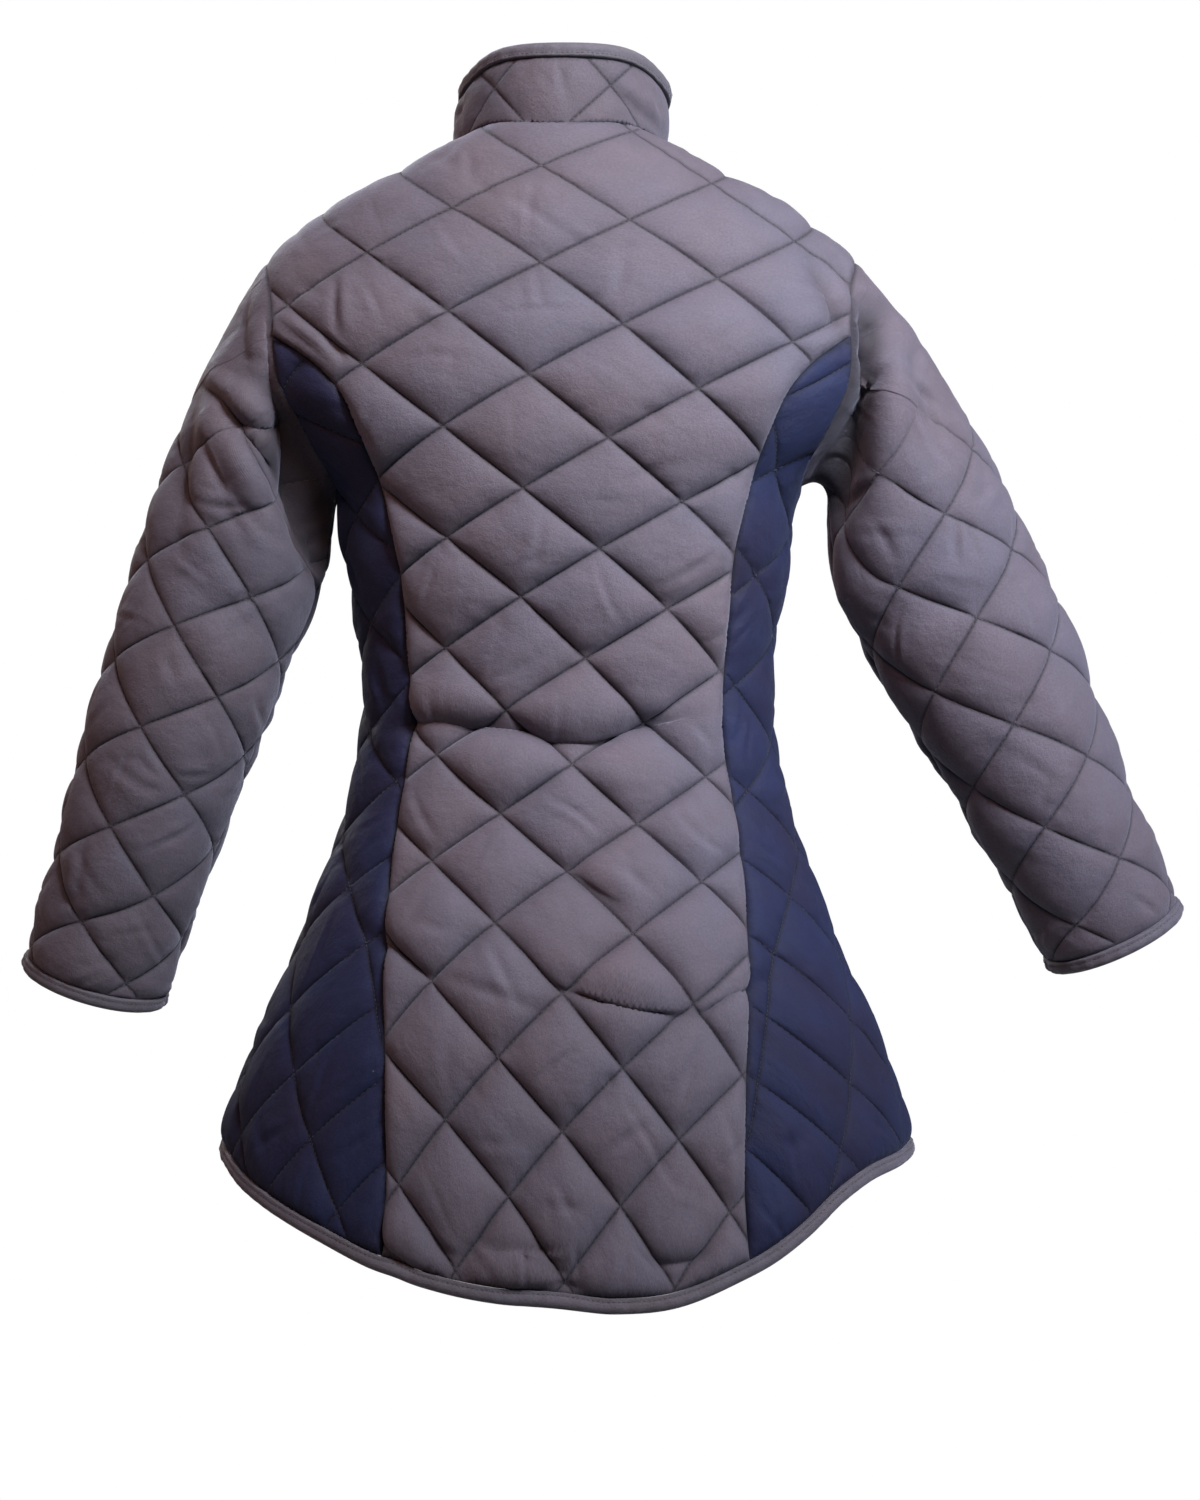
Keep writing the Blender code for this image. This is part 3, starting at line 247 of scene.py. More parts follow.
# Rows of quilting crossings on the body: height, column shift and diamond width.
ROW_COLUMNS = ("row", "z", "shift", "width")
QUILT_ROWS = (
    (-4.0, 0.098, 0.000, 0.130),
    (-3.0, 0.028, -0.006, 0.126),
    (-2.0, -0.042, -0.014, 0.123),
    (-1.0, -0.1126, -0.0155, 0.122),
    (0.0, -0.1911, -0.0265, 0.116),
    (1.0, -0.2689, -0.0318, 0.110),
    (2.0, -0.3430, -0.0340, 0.101),
    (3.0, -0.4212, -0.0440, 0.095),
    (4.0, -0.4950, -0.0480, 0.093),
    (5.0, -0.5710, -0.0500, 0.091),
    (6.0, -0.6582, -0.0480, 0.083),
    (7.0, -0.7480, -0.042, 0.077),
    (8.0, -0.8550, -0.040, 0.075),
    (9.0, -0.9650, -0.040, 0.075),
)

# Body panels: node, middle angle, slope, shift and stretch of the diamonds, phase of the rows, seed.
BODY_CHARTS = (
    ("back", 90.0, 4.5, 0.003, 1.0, 0.0, 1),
    ("side_left", 0.0, -3.0, 0.030, 0.95, 0.3, 2),
    ("side_right", 180.0, 4.0, 0.070, 0.95, 0.2, 3),
    ("front_left", -90.0, -4.5, 0.060, 1.0, 0.1, 4),
    ("front_right", 270.0, 4.5, 0.010, 1.0, 0.1, 5),
)
# Diamonds of the sleeves: width, height, turn of the rows, shift round the arm and down it, seed.
SLEEVE_LATTICES = {
    "left": (0.086, 0.072, 0.0, 0.015, -0.060, 7),
    "right": (0.087, 0.076, 8.0, 0.012, -0.053, 8),
}
# Uneven padding: least share and range of a diamond's fullness, its slump, and its lumps.
FULLNESS_SPREAD = (0.86, 0.28)
SLUMP = 0.10
LUMP_LENGTH = 0.016
LUMP_HEIGHT = 0.0004

# Small creases in each diamond: least size and range, greatest depth, spread from its middle, bend.
SMALL_CREASES = 3
SMALL_CREASE_WIDTH = (0.0016, 0.0030)
SMALL_CREASE_REACH = (0.010, 0.016)
SMALL_CREASE_DEPTH = 0.0020
SMALL_CREASE_SPREAD = (0.018, 0.030)
SMALL_CREASE_BEND = 14.0

# Puckers along the stitched lines: lengths of two waves and of their swell, and how far they reach.
PUCKER_LENGTHS = (0.0075, 0.0038, 0.045)
PUCKER_REACH = 0.0065
PUCKER_START = 0.0012
BODY_PUCKERS = 0.0013
SLEEVE_PUCKERS = 0.0012
SLEEVE_FULLNESS = 0.68
SIDE_FULLNESS = 0.62
BODY_FULLNESS = 1.22

# Folds pressed into the body's form: angle, height, half sizes, tilt and depth.
FOLD_COLUMNS = ("angle", "z", "half_length", "half_height", "tilt", "depth")
BODY_FOLDS = (
    (74.0, -0.430, 0.085, 0.016, 4.0, -0.0060),
    (76.0, -0.460, 0.080, 0.018, 2.0, 0.0040),
    (122.0, -0.438, 0.050, 0.016, -8.0, -0.0030),
    (-60.0, -0.428, 0.060, 0.016, 6.0, -0.0045),
    (-125.0, -0.436, 0.055, 0.016, -5.0, -0.0040),
    (90.0, -0.605, 0.210, 0.085, 0.0, 0.0100),
    (90.0, -0.775, 0.230, 0.105, 0.0, -0.0140),
)

# Folds of the sleeves: angle round the arm, distance down it, half sizes, tilt and depth.
SLEEVE_FOLD_COLUMNS = ("angle", "down", "half_length", "half_height", "tilt", "depth")
SLEEVE_FOLDS = {
    "left": (
        (80.0, 0.060, 0.060, 0.012, 60.0, -0.0050),
        (55.0, 0.090, 0.060, 0.012, 66.0, -0.0040),
        (100.0, 0.240, 0.050, 0.014, 20.0, -0.0030),
        (-70.0, 0.070, 0.055, 0.012, -60.0, -0.0045),
    ),
    "right": (
        (110.0, 0.070, 0.060, 0.014, 55.0, -0.0060),
        (75.0, 0.045, 0.055, 0.012, 60.0, -0.0045),
        (95.0, 0.250, 0.050, 0.014, -15.0, -0.0030),
        (-75.0, 0.060, 0.055, 0.012, -58.0, -0.0045),
    ),
}

# Folds and creases: side of the coat, two ends, bend and half width in photo pixels,
# depth in millimetres and share of the roll beside it. The back is side 1, and its folds were placed
# over the photo; the first, fifth and sixth of the sleeves were then adjusted in metres. The
# front is side -1. It isn't in the photo, so its folds are invented on the same scale.
PLACED_COLUMNS = ("face", "x0", "z0", "x1", "z1", "bend", "width", "depth", "roll")
PHOTO_PIXEL = 0.00072
PHOTO_MIDDLE_COLUMN = 567
PHOTO_SHOULDER_ROW = 130
MILLIMETRE = 0.001
PLACED_DIGITS = 4


def placed(pixel_rows):
    """Rows in photo pixels as metres in the coat's frame, to a tenth of a millimetre."""
    rows = []
    for face, x0, y0, x1, y1, bend, width, depth, roll in pixel_rows:
        sizes = [(PHOTO_MIDDLE_COLUMN - x0) * PHOTO_PIXEL, (PHOTO_SHOULDER_ROW - y0) * PHOTO_PIXEL,
                 (PHOTO_MIDDLE_COLUMN - x1) * PHOTO_PIXEL, (PHOTO_SHOULDER_ROW - y1) * PHOTO_PIXEL,
                 bend * PHOTO_PIXEL, width * PHOTO_PIXEL, depth * MILLIMETRE]
        rows.append((face, *[round(size, PLACED_DIGITS) for size in sizes], roll))
    return rows


SLEEVE_SHAPE = placed((
    (1, 858.7, 300, 826.7, 540, 0, 23.6, 27, 0),
    (1, 898, 300, 872, 520, 0, 14, -6, 0),
    (1, 280, 372, 320, 590, 0, 19, 28, 0),
    (1, 250, 380, 278, 560, 3, 14, -5, 0),
    (1, 232, 410, 286, 505, -3, 8.3, 12, 0.7),
    (1, 212, 388, 276, 444, 3, 6.4, 9, -0.5),
    (1, 262, 442, 306, 420, 0, 7, 6, -0.3),
    (1, 214, 380, 190, 565, 4, 11, 5, -0.6),
    (1, 252, 296, 262, 412, 0, 9, 3, -0.4),
    (-1, 858, 300, 820, 520, 0, 17, 11, 0),
    (-1, 296, 396, 316, 540, 0, 16, 11, 0),
    (-1, 236, 430, 290, 512, -3, 9, 8, 0.5),
    (-1, 214, 410, 270, 452, 3, 7, 6, -0.4),
    (-1, 868, 470, 930, 528, 3, 8, 6, -0.4),
    (-1, 900, 390, 945, 470, 0, 7, 4, 0.4),
    (-1, 985, 690, 1040, 720, 3, 6, 3, -0.4),
    (-1, 140, 690, 205, 735, 3, 6, 3, -0.4),
))
BODY_SHAPE = placed((
    (1, 455, 724, 622, 748, 3, 12, 8, -0.6),
    (1, 394, 735, 504, 735, -16, 10, 6.5, -0.6),
    (1, 580, 742, 700, 712, 0, 10, 5, -0.5),
    (1, 436, 700, 640, 700, 0, 24, -3, 0),
    (1, 430, 785, 660, 778, 0, 30, -2.5, 0),
    (1, 790, 262, 838, 362, 0, 12, 6, -0.6),
    (1, 818, 254, 856, 342, 0, 11, 5, -0.5),
    (1, 548, 848, 630, 912, 0, 10, 3.5, -0.4),
    (1, 374, 918, 458, 976, 0, 10, 4, -0.5),
    (1, 530, 966, 708, 1008, 3, 10, 5, -0.6),
    (1, 680, 1010, 764, 968, -7, 9, 5, -0.6),
    (1, 470, 1205, 600, 1225, 4, 12, 3.5, -0.5),
    (1, 500, 1250, 610, 1250, -4, 11, 3.5, -0.5),
    (1, 630, 1225, 720, 1215, 4, 11, 3.5, -0.5),
    (1, 376, 1195, 430, 1235, 0, 10, 3.5, -0.5),
))
CREASES = placed((
    (1, 348, 290, 352, 358, 0, 4.5, 3.5, -0.6),
    (1, 280, 333, 347, 385, -4, 5, 3.5, -0.5),
    (1, 335, 351, 361, 378, 0, 3.5, 3, -0.6),
    (1, 524, 284, 529, 340, 0, 6, 1.2, -0.4),
    (1, 536, 272, 549, 340, 2, 6, 1.2, 0.4),
    (1, 549, 973, 692, 1003, 3, 4.5, 3.5, -0.6),
    (1, 446, 961, 557, 999, 0, 5, 2, -0.4),
    (1, 691, 1003, 749, 979, -7, 4.5, 4, -0.5),
    (1, 514, 1209, 577, 1213, 2, 3, 2.5, 0.6),
    (1, 526, 1227, 582, 1235, 4, 3, 2.3, 0.6),
    (1, 540, 1245, 592, 1253, -3, 3, 2.5, 0.5),
    (1, 576, 1203, 582, 1243, 0, 3, 2, 0.4),
    (1, 476, 1213, 508, 1250, 0, 3, 2, -0.5),
    (1, 440, 1200, 473, 1224, 3, 3, 1.8, -0.5),
    (1, 388, 1203, 408, 1215, 0, 3, 2.5, -0.5),
    (1, 603, 1050, 613, 1067, 0, 4, 2, 0),
    (1, 618, 1068, 671, 1163, 0, 3, 1.8, 0.4),
    (1, 629, 1208, 653, 1243, 0, 3, 2, 0.5),
    (1, 650, 1232, 701, 1221, 4, 3.5, 1.8, 0.5),
    (1, 651, 1255, 689, 1250, 3, 3, 1.8, -0.5),
    (1, 843, 353, 877, 331, 0, 4, 3.5, 0.5),
    (1, 855, 410, 881, 376, 0, 5, 4.5, -0.4),
    (1, 912, 345, 896, 397, 3, 5, 2.5, -0.4),
    (1, 895, 390, 931, 418, 2, 4, 3.5, -0.5),
    (1, 901, 406, 930, 468, 0, 4, 2.8, 0.4),
    (1, 912, 410, 935, 457, 0, 4, 2.4, -0.4),
    (1, 871, 486, 845, 515, 0, 4, 3, 0.4),
    (1, 948, 520, 944, 568, 2, 4, 2.5, -0.5),
    (1, 957, 524, 962, 562, 0, 3.5, 2, -0.5),
    (1, 1000, 512, 1008, 568, 0, 4, 2, -0.5),
    (1, 203, 504, 262, 508, 8, 3.5, 2, -0.4),
    (1, 210, 438, 239, 503, 0, 5, 2.5, -0.5),
    (1, 222, 372, 251, 314, 0, 9, 3, 0.3),
    (1, 146, 752, 167, 777, 0, 3.5, 1.5, -0.4),
    (1, 182, 773, 216, 770, 1, 3, 1.5, -0.5),
    (1, 153, 783, 170, 788, 0, 3, 1.3, -0.5),
    (1, 588, 82, 668, 138, 4, 6, 2.4, -0.5),
    (-1, 470, 735, 590, 742, 4, 7, 5, -0.5),
    (-1, 640, 742, 720, 728, -4, 6, 5, -0.5),
    (-1, 330, 330, 352, 392, 0, 5, 3.2, -0.5),
    (-1, 300, 345, 345, 400, -3, 5, 3, -0.5),
    (-1, 806, 300, 828, 362, 0, 6, 3.5, -0.5),
    (-1, 826, 296, 846, 345, 0, 5, 3, 0.5),
    (-1, 420, 900, 520, 925, 3, 5, 2.6, -0.5),
    (-1, 470, 1010, 560, 1040, -3, 4.5, 2.4, -0.5),
    (-1, 610, 960, 720, 985, 4, 5, 3, -0.5),
    (-1, 640, 1120, 700, 1160, 0, 4, 2.2, 0.5),
    (-1, 410, 1180, 470, 1200, 4, 3.5, 2.2, 0.5),
    (-1, 590, 1190, 650, 1205, -4, 3.5, 2.2, -0.5),
))

BACK_MIDDLE = 90.0
FRONT_MIDDLE = -90.0
HALF_TURN = 180.0

# Small steps, in degrees, metres and shares, by which surfaces are read.
RING_STEP = 0.2
ARM_RING_STEP = 1.0
DOWN_STEP = 0.001
COLLAR_SHARE_STEP = 0.02
AXIS_STEP = 0.004

# Rough sizes that set how finely the outlines are stepped, and starts of what is found by rounds.
NECK_RADIUS = 0.066
ARM_RADIUS = 0.06
HEM_RADIUS = 0.215
SHOULDER_LENGTH = 0.160
HEM_START = -0.78
SETTLE_ROUNDS = 12

# A placed fold's roll lies beside its trough: offset and half width as shares of the trough's.
ROLL_OFFSET = 1.9
ROLL_WIDTH = 1.5
FOLD_END_POWER = 1.1
SIDE_BLEND = 3


def unit(vectors):
    return vectors / np.linalg.norm(vectors, axis=-1, keepdims=True)


def column(table, names, name):
    place = names.index(name)
    return np.array([row[place] for row in table])


def smooth(values, keys, heights):
    """Cubic reading of a table whose keys may rise or fall."""
    if keys[0] > keys[-1]:
        keys = keys[::-1]
        heights = heights[::-1]
    slopes = np.gradient(heights, keys)
    values = np.clip(np.asarray(values, dtype=float), keys[0], keys[-1])
    place = np.clip(np.searchsorted(keys, values) - 1, 0, len(keys) - 2)
    step = keys[place + 1] - keys[place]
    part = (values - keys[place]) / step
    rise = heights[place + 1] - heights[place]
    near = slopes[place] * step
    far = slopes[place + 1] * step
    bend = part * (1 - part)
    return heights[place] + rise * part + bend * ((near - rise) * (1 - part) - (far - rise) * part)


def quadratic(terms, value):
    return terms[0] + terms[1] * value + terms[2] * value ** 2


def section(z):
    keys = column(SECTIONS, SECTION_COLUMNS, "z")
    return [smooth(z, keys, column(SECTIONS, SECTION_COLUMNS, name)) for name in SECTION_COLUMNS[1:]]


def bare_body_point(angle, z):
    """Point of the body's form before its folds; the angle is in degrees."""
    turn = np.radians(angle)
    width, back, front, power = section(z)
    depth = np.where(np.sin(turn) >= 0, back, front)
    radius = (np.abs(np.cos(turn) / width) ** power + np.abs(np.sin(turn) / depth) ** power) ** (-1 / power)
    return np.stack([radius * np.cos(turn), radius * np.sin(turn), z + 0 * turn], axis=-1)


def fold_depth(across, down, rows, names):
    """Sum of soft troughs and ridges at a place given by two lengths from each fold's middle."""
    total = 0.0
    for index, row in enumerate(rows):
        fold = dict(zip(names, row))
        tilt = math.radians(fold["tilt"])
        along = across[index] * math.cos(tilt) + down[index] * math.sin(tilt)
        over = down[index] * math.cos(tilt) - across[index] * math.sin(tilt)
        reach = (along / fold["half_length"]) ** 2 + (over / fold["half_height"]) ** 2
        total = total + fold["depth"] * np.exp(-reach)
    return total


def soft_step(value):
    value = np.clip(value, 0, 1)
    return value * value * (3 - 2 * value)


def placed_depth(points, facing_back, rows):
    """Sum of listed folds: a trough with a soft roll of cloth beside it."""
    total = np.zeros(points.shape[:-1])
    for row in rows:
        fold = dict(zip(PLACED_COLUMNS, row))
        across = fold["x1"] - fold["x0"]
        up = fold["z1"] - fold["z0"]
        length = math.hypot(across, up)
        first = points[..., 0] - fold["x0"]
        second = points[..., 2] - fold["z0"]
        part = (first * across + second * up) / length ** 2
        over = (second * across - first * up) / length - fold["bend"] * 4 * part * (1 - part)
        width = fold["width"]
        trough = -np.exp(-(over / width) ** 2)
        side = np.sign(fold["roll"])
        beside = over - side * ROLL_OFFSET * width
        roll = abs(fold["roll"]) * np.exp(-(beside / (ROLL_WIDTH * width)) ** 2)
        window = np.sin(np.pi * np.clip(part, 0, 1)) ** FOLD_END_POWER
        window = window * soft_step(facing_back * fold["face"] * SIDE_BLEND)
        total = total + fold["depth"] * window * (trough + roll)
    return total


def surface_frame(point_at, first, second, first_step, second_step, outward):
    """Normals of a surface by small steps in its two coordinates."""
    rise = point_at(first + first_step, second) - point_at(first - first_step, second)
    run = point_at(first, second + second_step) - point_at(first, second - second_step)
    normal = unit(np.cross(rise, run))
    return normal * outward


def stance(z):
    """Sideways step of the whole form at a height."""
    keys = column(STANCE, STANCE_COLUMNS, "z")
    step = smooth(z, keys, column(STANCE, STANCE_COLUMNS, "sideways"))
    return np.stack([step, 0 * step, 0 * step], axis=-1)


def bare_body_normal(angle, z):
    return surface_frame(bare_body_point, angle, z, RING_STEP, DOWN_STEP, 1.0)


def body_point(angle, z):
    angle = np.asarray(angle, dtype=float)
    z = np.asarray(z, dtype=float)
    base = bare_body_point(angle, z)
    reach = np.hypot(base[..., 0], base[..., 1])
    across = [np.radians((angle - row[0] + HALF_TURN) % 360 - HALF_TURN) * reach for row in BODY_FOLDS]
    down = [row[1] - z for row in BODY_FOLDS]
    depth = fold_depth(across, down, BODY_FOLDS, FOLD_COLUMNS)
    normal = bare_body_normal(angle, z)
    base = base + stance(z)
    depth = depth + placed_depth(base, normal[..., 1], BODY_SHAPE)
    return base + normal * np.asarray(depth)[..., None]


def body_normal(angle, z):
    return surface_frame(body_point, angle, z, RING_STEP, DOWN_STEP, 1.0)


def angle_at(z, x, back):
    """Ring angle, on the wearer's left, of the body's form at a distance from the middle plane."""
    width, back_depth, front_depth, power = section(z)
    share = np.clip(np.abs(x) / width, 0, 1)
    y = np.where(back, back_depth, -front_depth) * (1 - share ** power) ** (1 / power)
    return np.degrees(np.arctan2(y, x))


def armhole(angle):
    """Ring angle and height of the left armhole at an angle round it from its top."""
    turn = np.radians(angle)
    z = ARMHOLE_MIDDLE_Z + ARMHOLE_HALF_HEIGHT * np.cos(turn)
    y = np.where(np.sin(turn) >= 0, ARMHOLE_BACK, ARMHOLE_FRONT) * np.sin(turn)
    width, back, front, power = section(z)
    depth = np.where(y >= 0, back, front)
    x = width * (1 - (np.abs(y) / depth) ** power) ** (1 / power)
    return np.degrees(np.arctan2(y, x)), z


def hem_z(angle):
    return smooth(angle, column(HEM, HEM_COLUMNS, "angle"), column(HEM, HEM_COLUMNS, "z"))


def neck_z(angle):
    return quadratic(NECK_Z, np.sin(np.radians(angle)))


def collar_stance(angle, height):
    """Sideways step of the collar, which straightens up again towards its top."""
    step = stance(neck_z(angle))
    step[..., 0] += COLLAR_TOP_STEP * height
    return step


def collar_point(angle, height):
    """Point of the collar at a ring angle; height runs from 0 at the neckline to 1 at its tape."""
    angle = np.asarray(angle, dtype=float)
    base = bare_body_point(angle, neck_z(angle))
    sine = np.sin(np.radians(angle))
    top = base * np.array([COLLAR_TOP_WIDTH, COLLAR_TOP_DEPTH, 0.0])
    top[..., 2] = quadratic(COLLAR_TOP_Z, sine)
    out = unit(base * np.array([1.0, 1.0, 0.0]))
    bow = COLLAR_BOW * np.sin(np.pi * np.clip(height, 0, 1))
    height = np.asarray(height, dtype=float)[..., None]
    raised = base + (top - base) * height + out * np.asarray(bow)[..., None]
    return raised + collar_stance(angle, height[..., 0])


def collar_normal(angle, height):
    return surface_frame(collar_point, angle, height, RING_STEP, COLLAR_SHARE_STEP, 1.0)


class Sleeve:
    """Form of one sleeve; angles run from the outside of the arm round its back."""

    def __init__(self, side):
        self.side = side
        self.sign = 1.0 if side == "left" else -1.0
        table = SLEEVES[side]
        self.path = np.array([row[:3] for row in table])
        steps = np.linalg.norm(np.diff(self.path, axis=0), axis=1)
        self.keys = np.concatenate([[0.0], np.cumsum(steps)])
        self.across = column(table, SLEEVE_COLUMNS, "half_width")
        self.deep = column(table, SLEEVE_COLUMNS, "half_depth")
        self.axis = self.direction(0.0)
        self.turns = np.arange(-720, 721) / 4.0
        self.starts = self.measured_start(self.turns)
        self.leans = (self.ring(self.turns, 0 * self.turns + LEAN_STEP) - self.starts[2]) / LEAN_STEP

    def middle(self, down):
        return np.stack([smooth(down, self.keys, self.path[:, k]) for k in range(3)], axis=-1)

    def direction(self, down):
        down = np.clip(down, AXIS_STEP, self.keys[-1] - AXIS_STEP)
        return unit(self.middle(down + AXIS_STEP) - self.middle(down - AXIS_STEP))

    def ring(self, angle, down):
        turn = np.radians(angle)
        axis = self.direction(down)
        deep = unit(np.array([0.0, 1.0, 0.0]) - axis * axis[..., 1:2])
        wide = np.cross(axis, deep)
        wide = wide * np.sign(wide[..., 0:1])
        half_width = smooth(down, self.keys, self.across)
        half_depth = smooth(down, self.keys, self.deep)
        return (self.middle(down) + wide * (half_width * np.cos(turn))[..., None]
                + deep * (half_depth * np.sin(turn))[..., None])

    def read(self, values, angle):
        """Reading of a table over the turns at any angle."""
        turned = (np.asarray(angle, dtype=float) + HALF_TURN) % 360 - HALF_TURN
        if values.ndim == 1:
            return np.interp(turned, self.turns, values)
        return np.stack([np.interp(turned, self.turns, values[:, k]) for k in range(3)], axis=-1)

    def start(self, angle):
        return [self.read(values, angle) for values in self.starts]

    def measured_start(self, angle):
        """Distance down the arm, less than 0 on the cap, at which the sleeve leaves the armhole."""
        place, z = armhole(angle)
        edge = body_point(place if self.side == "left" else mirrored(place), z) * [self.sign, 1.0, 1.0]
        ring = self.ring(angle, 0 * np.asarray(angle, dtype=float))
        return ((edge - ring) @ self.axis), edge, ring

    def bare_point(self, angle, down):
        angle = np.asarray(angle, dtype=float) + 0 * np.asarray(down, dtype=float)
        down = np.asarray(down, dtype=float) + 0 * angle
        below = self.ring(angle, np.maximum(down, 0.0))
        begin, edge, ring = self.start(angle)
        length = -begin
        top, under = CAP_PUSH[self.side]
        share = (1 + np.cos(np.radians(angle))) / 2
        push = under + (top - under) * share
        wide = unit(np.array([1.0, 0.0, 0.0]) - self.axis * self.axis[0])
        lean = self.read(self.leans, angle)
        leave = self.axis * length[..., None] + wide * push[..., None]
        arrive = lean * length[..., None]
        part = ((down - begin) / length)[..., None]
        cap = (edge * (1 + 2 * part) * (1 - part) ** 2 + leave * part * (1 - part) ** 2
               + ring * part ** 2 * (3 - 2 * part) - arrive * part ** 2 * (1 - part))
        inner = np.exp(-((np.abs(angle % 360 - HALF_TURN)) / CAP_RISE_TURN) ** 2)
        bend = 4 * np.clip(part[..., 0], 0, 1) * (1 - np.clip(part[..., 0], 0, 1))
        cap = cap + np.array([0.0, 0.0, 1.0]) * (CAP_RISE[self.side] * inner * bend)[..., None]
        point = np.where((down < 0)[..., None], cap, below)
        return point * np.array([self.sign, 1.0, 1.0])

    def bare_normal(self, angle, down):
        return surface_frame(self.bare_point, angle, down, ARM_RING_STEP, DOWN_STEP, -self.sign)

    def point(self, angle, down):
        base = self.bare_point(angle, down)
        rows = SLEEVE_FOLDS[self.side]
        middle = -self.start(0.0)[0]
        across = [np.radians((angle - row[0] + HALF_TURN) % 360 - HALF_TURN) * ARM_RADIUS for row in rows]
        lengths = [down + middle - row[1] for row in rows]
        depth = fold_depth(across, lengths, rows, SLEEVE_FOLD_COLUMNS)
        normal = self.bare_normal(angle, down)
        depth = depth + placed_depth(base, normal[..., 1], SLEEVE_SHAPE)
        return base + normal * (np.asarray(depth) * self.fade(angle, down))[..., None]

    def fade(self, angle, down):
        """Folds die out at the armhole and the cuff."""
        begin = self.start(angle)[0]
        return soft_step((down - begin) / ARMHOLE_FADE) * soft_step((self.cuff() - down) / CUFF_FADE)

    def normal(self, angle, down):
        return surface_frame(self.point, angle, down, ARM_RING_STEP, DOWN_STEP, -self.sign)

    def cuff(self):
        return self.keys[-2]

    def radius(self, down):
        down = np.maximum(down, 0.0)
        return (smooth(down, self.keys, self.across) + smooth(down, self.keys, self.deep)) / 2


class Arcs:
    """Lengths round the body's rings, and the angle at a length."""

    def __init__(self):
        self.levels = np.linspace(-0.87, 0.008, 180)
        self.angles = np.linspace(-100.0, 280.0, 381)
        grid_z, grid_angle = np.meshgrid(self.levels, self.angles, indexing="ij")
        points = bare_body_point(grid_angle, grid_z)
        steps = np.linalg.norm(np.diff(points, axis=1), axis=2)
        self.lengths = np.concatenate([np.zeros((len(self.levels), 1)), np.cumsum(steps, axis=1)], axis=1)

    def rows_at(self, z):
        place = np.interp(z, self.levels, np.arange(len(self.levels)))
        low = np.minimum(place.astype(int), len(self.levels) - 2)
        return low, place - low

    def length(self, angle, z):
        low, part = self.rows_at(z)
        place = np.interp(angle, self.angles, np.arange(len(self.angles)))
        left = np.minimum(place.astype(int), len(self.angles) - 2)
        share = place - left
        near = self.lengths[low, left] * (1 - share) + self.lengths[low, left + 1] * share
        far = self.lengths[low + 1, left] * (1 - share) + self.lengths[low + 1, left + 1] * share
        return near * (1 - part) + far * part

    def angle(self, length, z):
        low, part = self.rows_at(z)
        result = []
        for some in np.array_split(np.arange(len(length)), max(1, len(length) // 4000)):
            share = part[some, None]
            rows = self.lengths[low[some]] * (1 - share) + self.lengths[low[some] + 1] * share
            place = np.clip(np.sum(rows <= length[some, None], axis=1) - 1, 0, len(self.angles) - 2)
            here = np.arange(len(some))
            before = rows[here, place]
            ahead = np.clip((length[some] - before) / (rows[here, place + 1] - before), 0, 1)
            result.append(self.angles[place] + ahead * (self.angles[1] - self.angles[0]))
        return np.concatenate(result)


ARCS = Arcs()


class BodyChart:
    """Flat pattern of a body panel: lengths from a middle line, and rows of diamond quilting."""

    cell = (0.100, 0.080)

    def __init__(self, middle, slope, shift, stretch, row_phase):
        self.middle = middle
        self.slope = math.tan(math.radians(slope))
        self.shift = shift
        self.stretch = stretch
        self.row_phase = row_phase
        self.rows = column(QUILT_ROWS, ROW_COLUMNS, "row")

    def column_of(self, row, name):
        return smooth(row, self.rows, column(QUILT_ROWS, ROW_COLUMNS, name))

    def flat(self, angle, z):
        across = ARCS.length(angle, z) - ARCS.length(np.full_like(z, self.middle), z)
        row = smooth(z + across * self.slope, column(QUILT_ROWS, ROW_COLUMNS, "z"), self.rows)
        width = self.column_of(row, "width") * self.stretch
        shift = self.column_of(row, "shift") + self.shift
        return np.stack([(across - shift) / width, row + self.row_phase], axis=-1)

    def place(self, flat):
        row = flat[:, 1] - self.row_phase
        width = self.column_of(row, "width") * self.stretch
        across = self.column_of(row, "shift") + self.shift + flat[:, 0] * width
        z = self.column_of(row, "z") - across * self.slope
        middle = ARCS.length(np.full_like(z, self.middle), z)
        return ARCS.angle(across + middle, z), z

    def surface(self, angle, z):
        return body_point(angle, z), body_normal(angle, z)

    def loft(self, angle, z):
        """Share of the full puff: the cloth is drawn flatter over the shoulders."""
        low, high = SHOULDER_PULL_Z
        return 1 - SHOULDER_PULL * soft_step((z - low) / (high - low)) + 0 * angle

    def quilted(self, angle, z):
        return 1 + 0 * angle

    def fold(self, points, normals):
        return placed_depth(points, normals[:, 1], BODY_SHAPE)


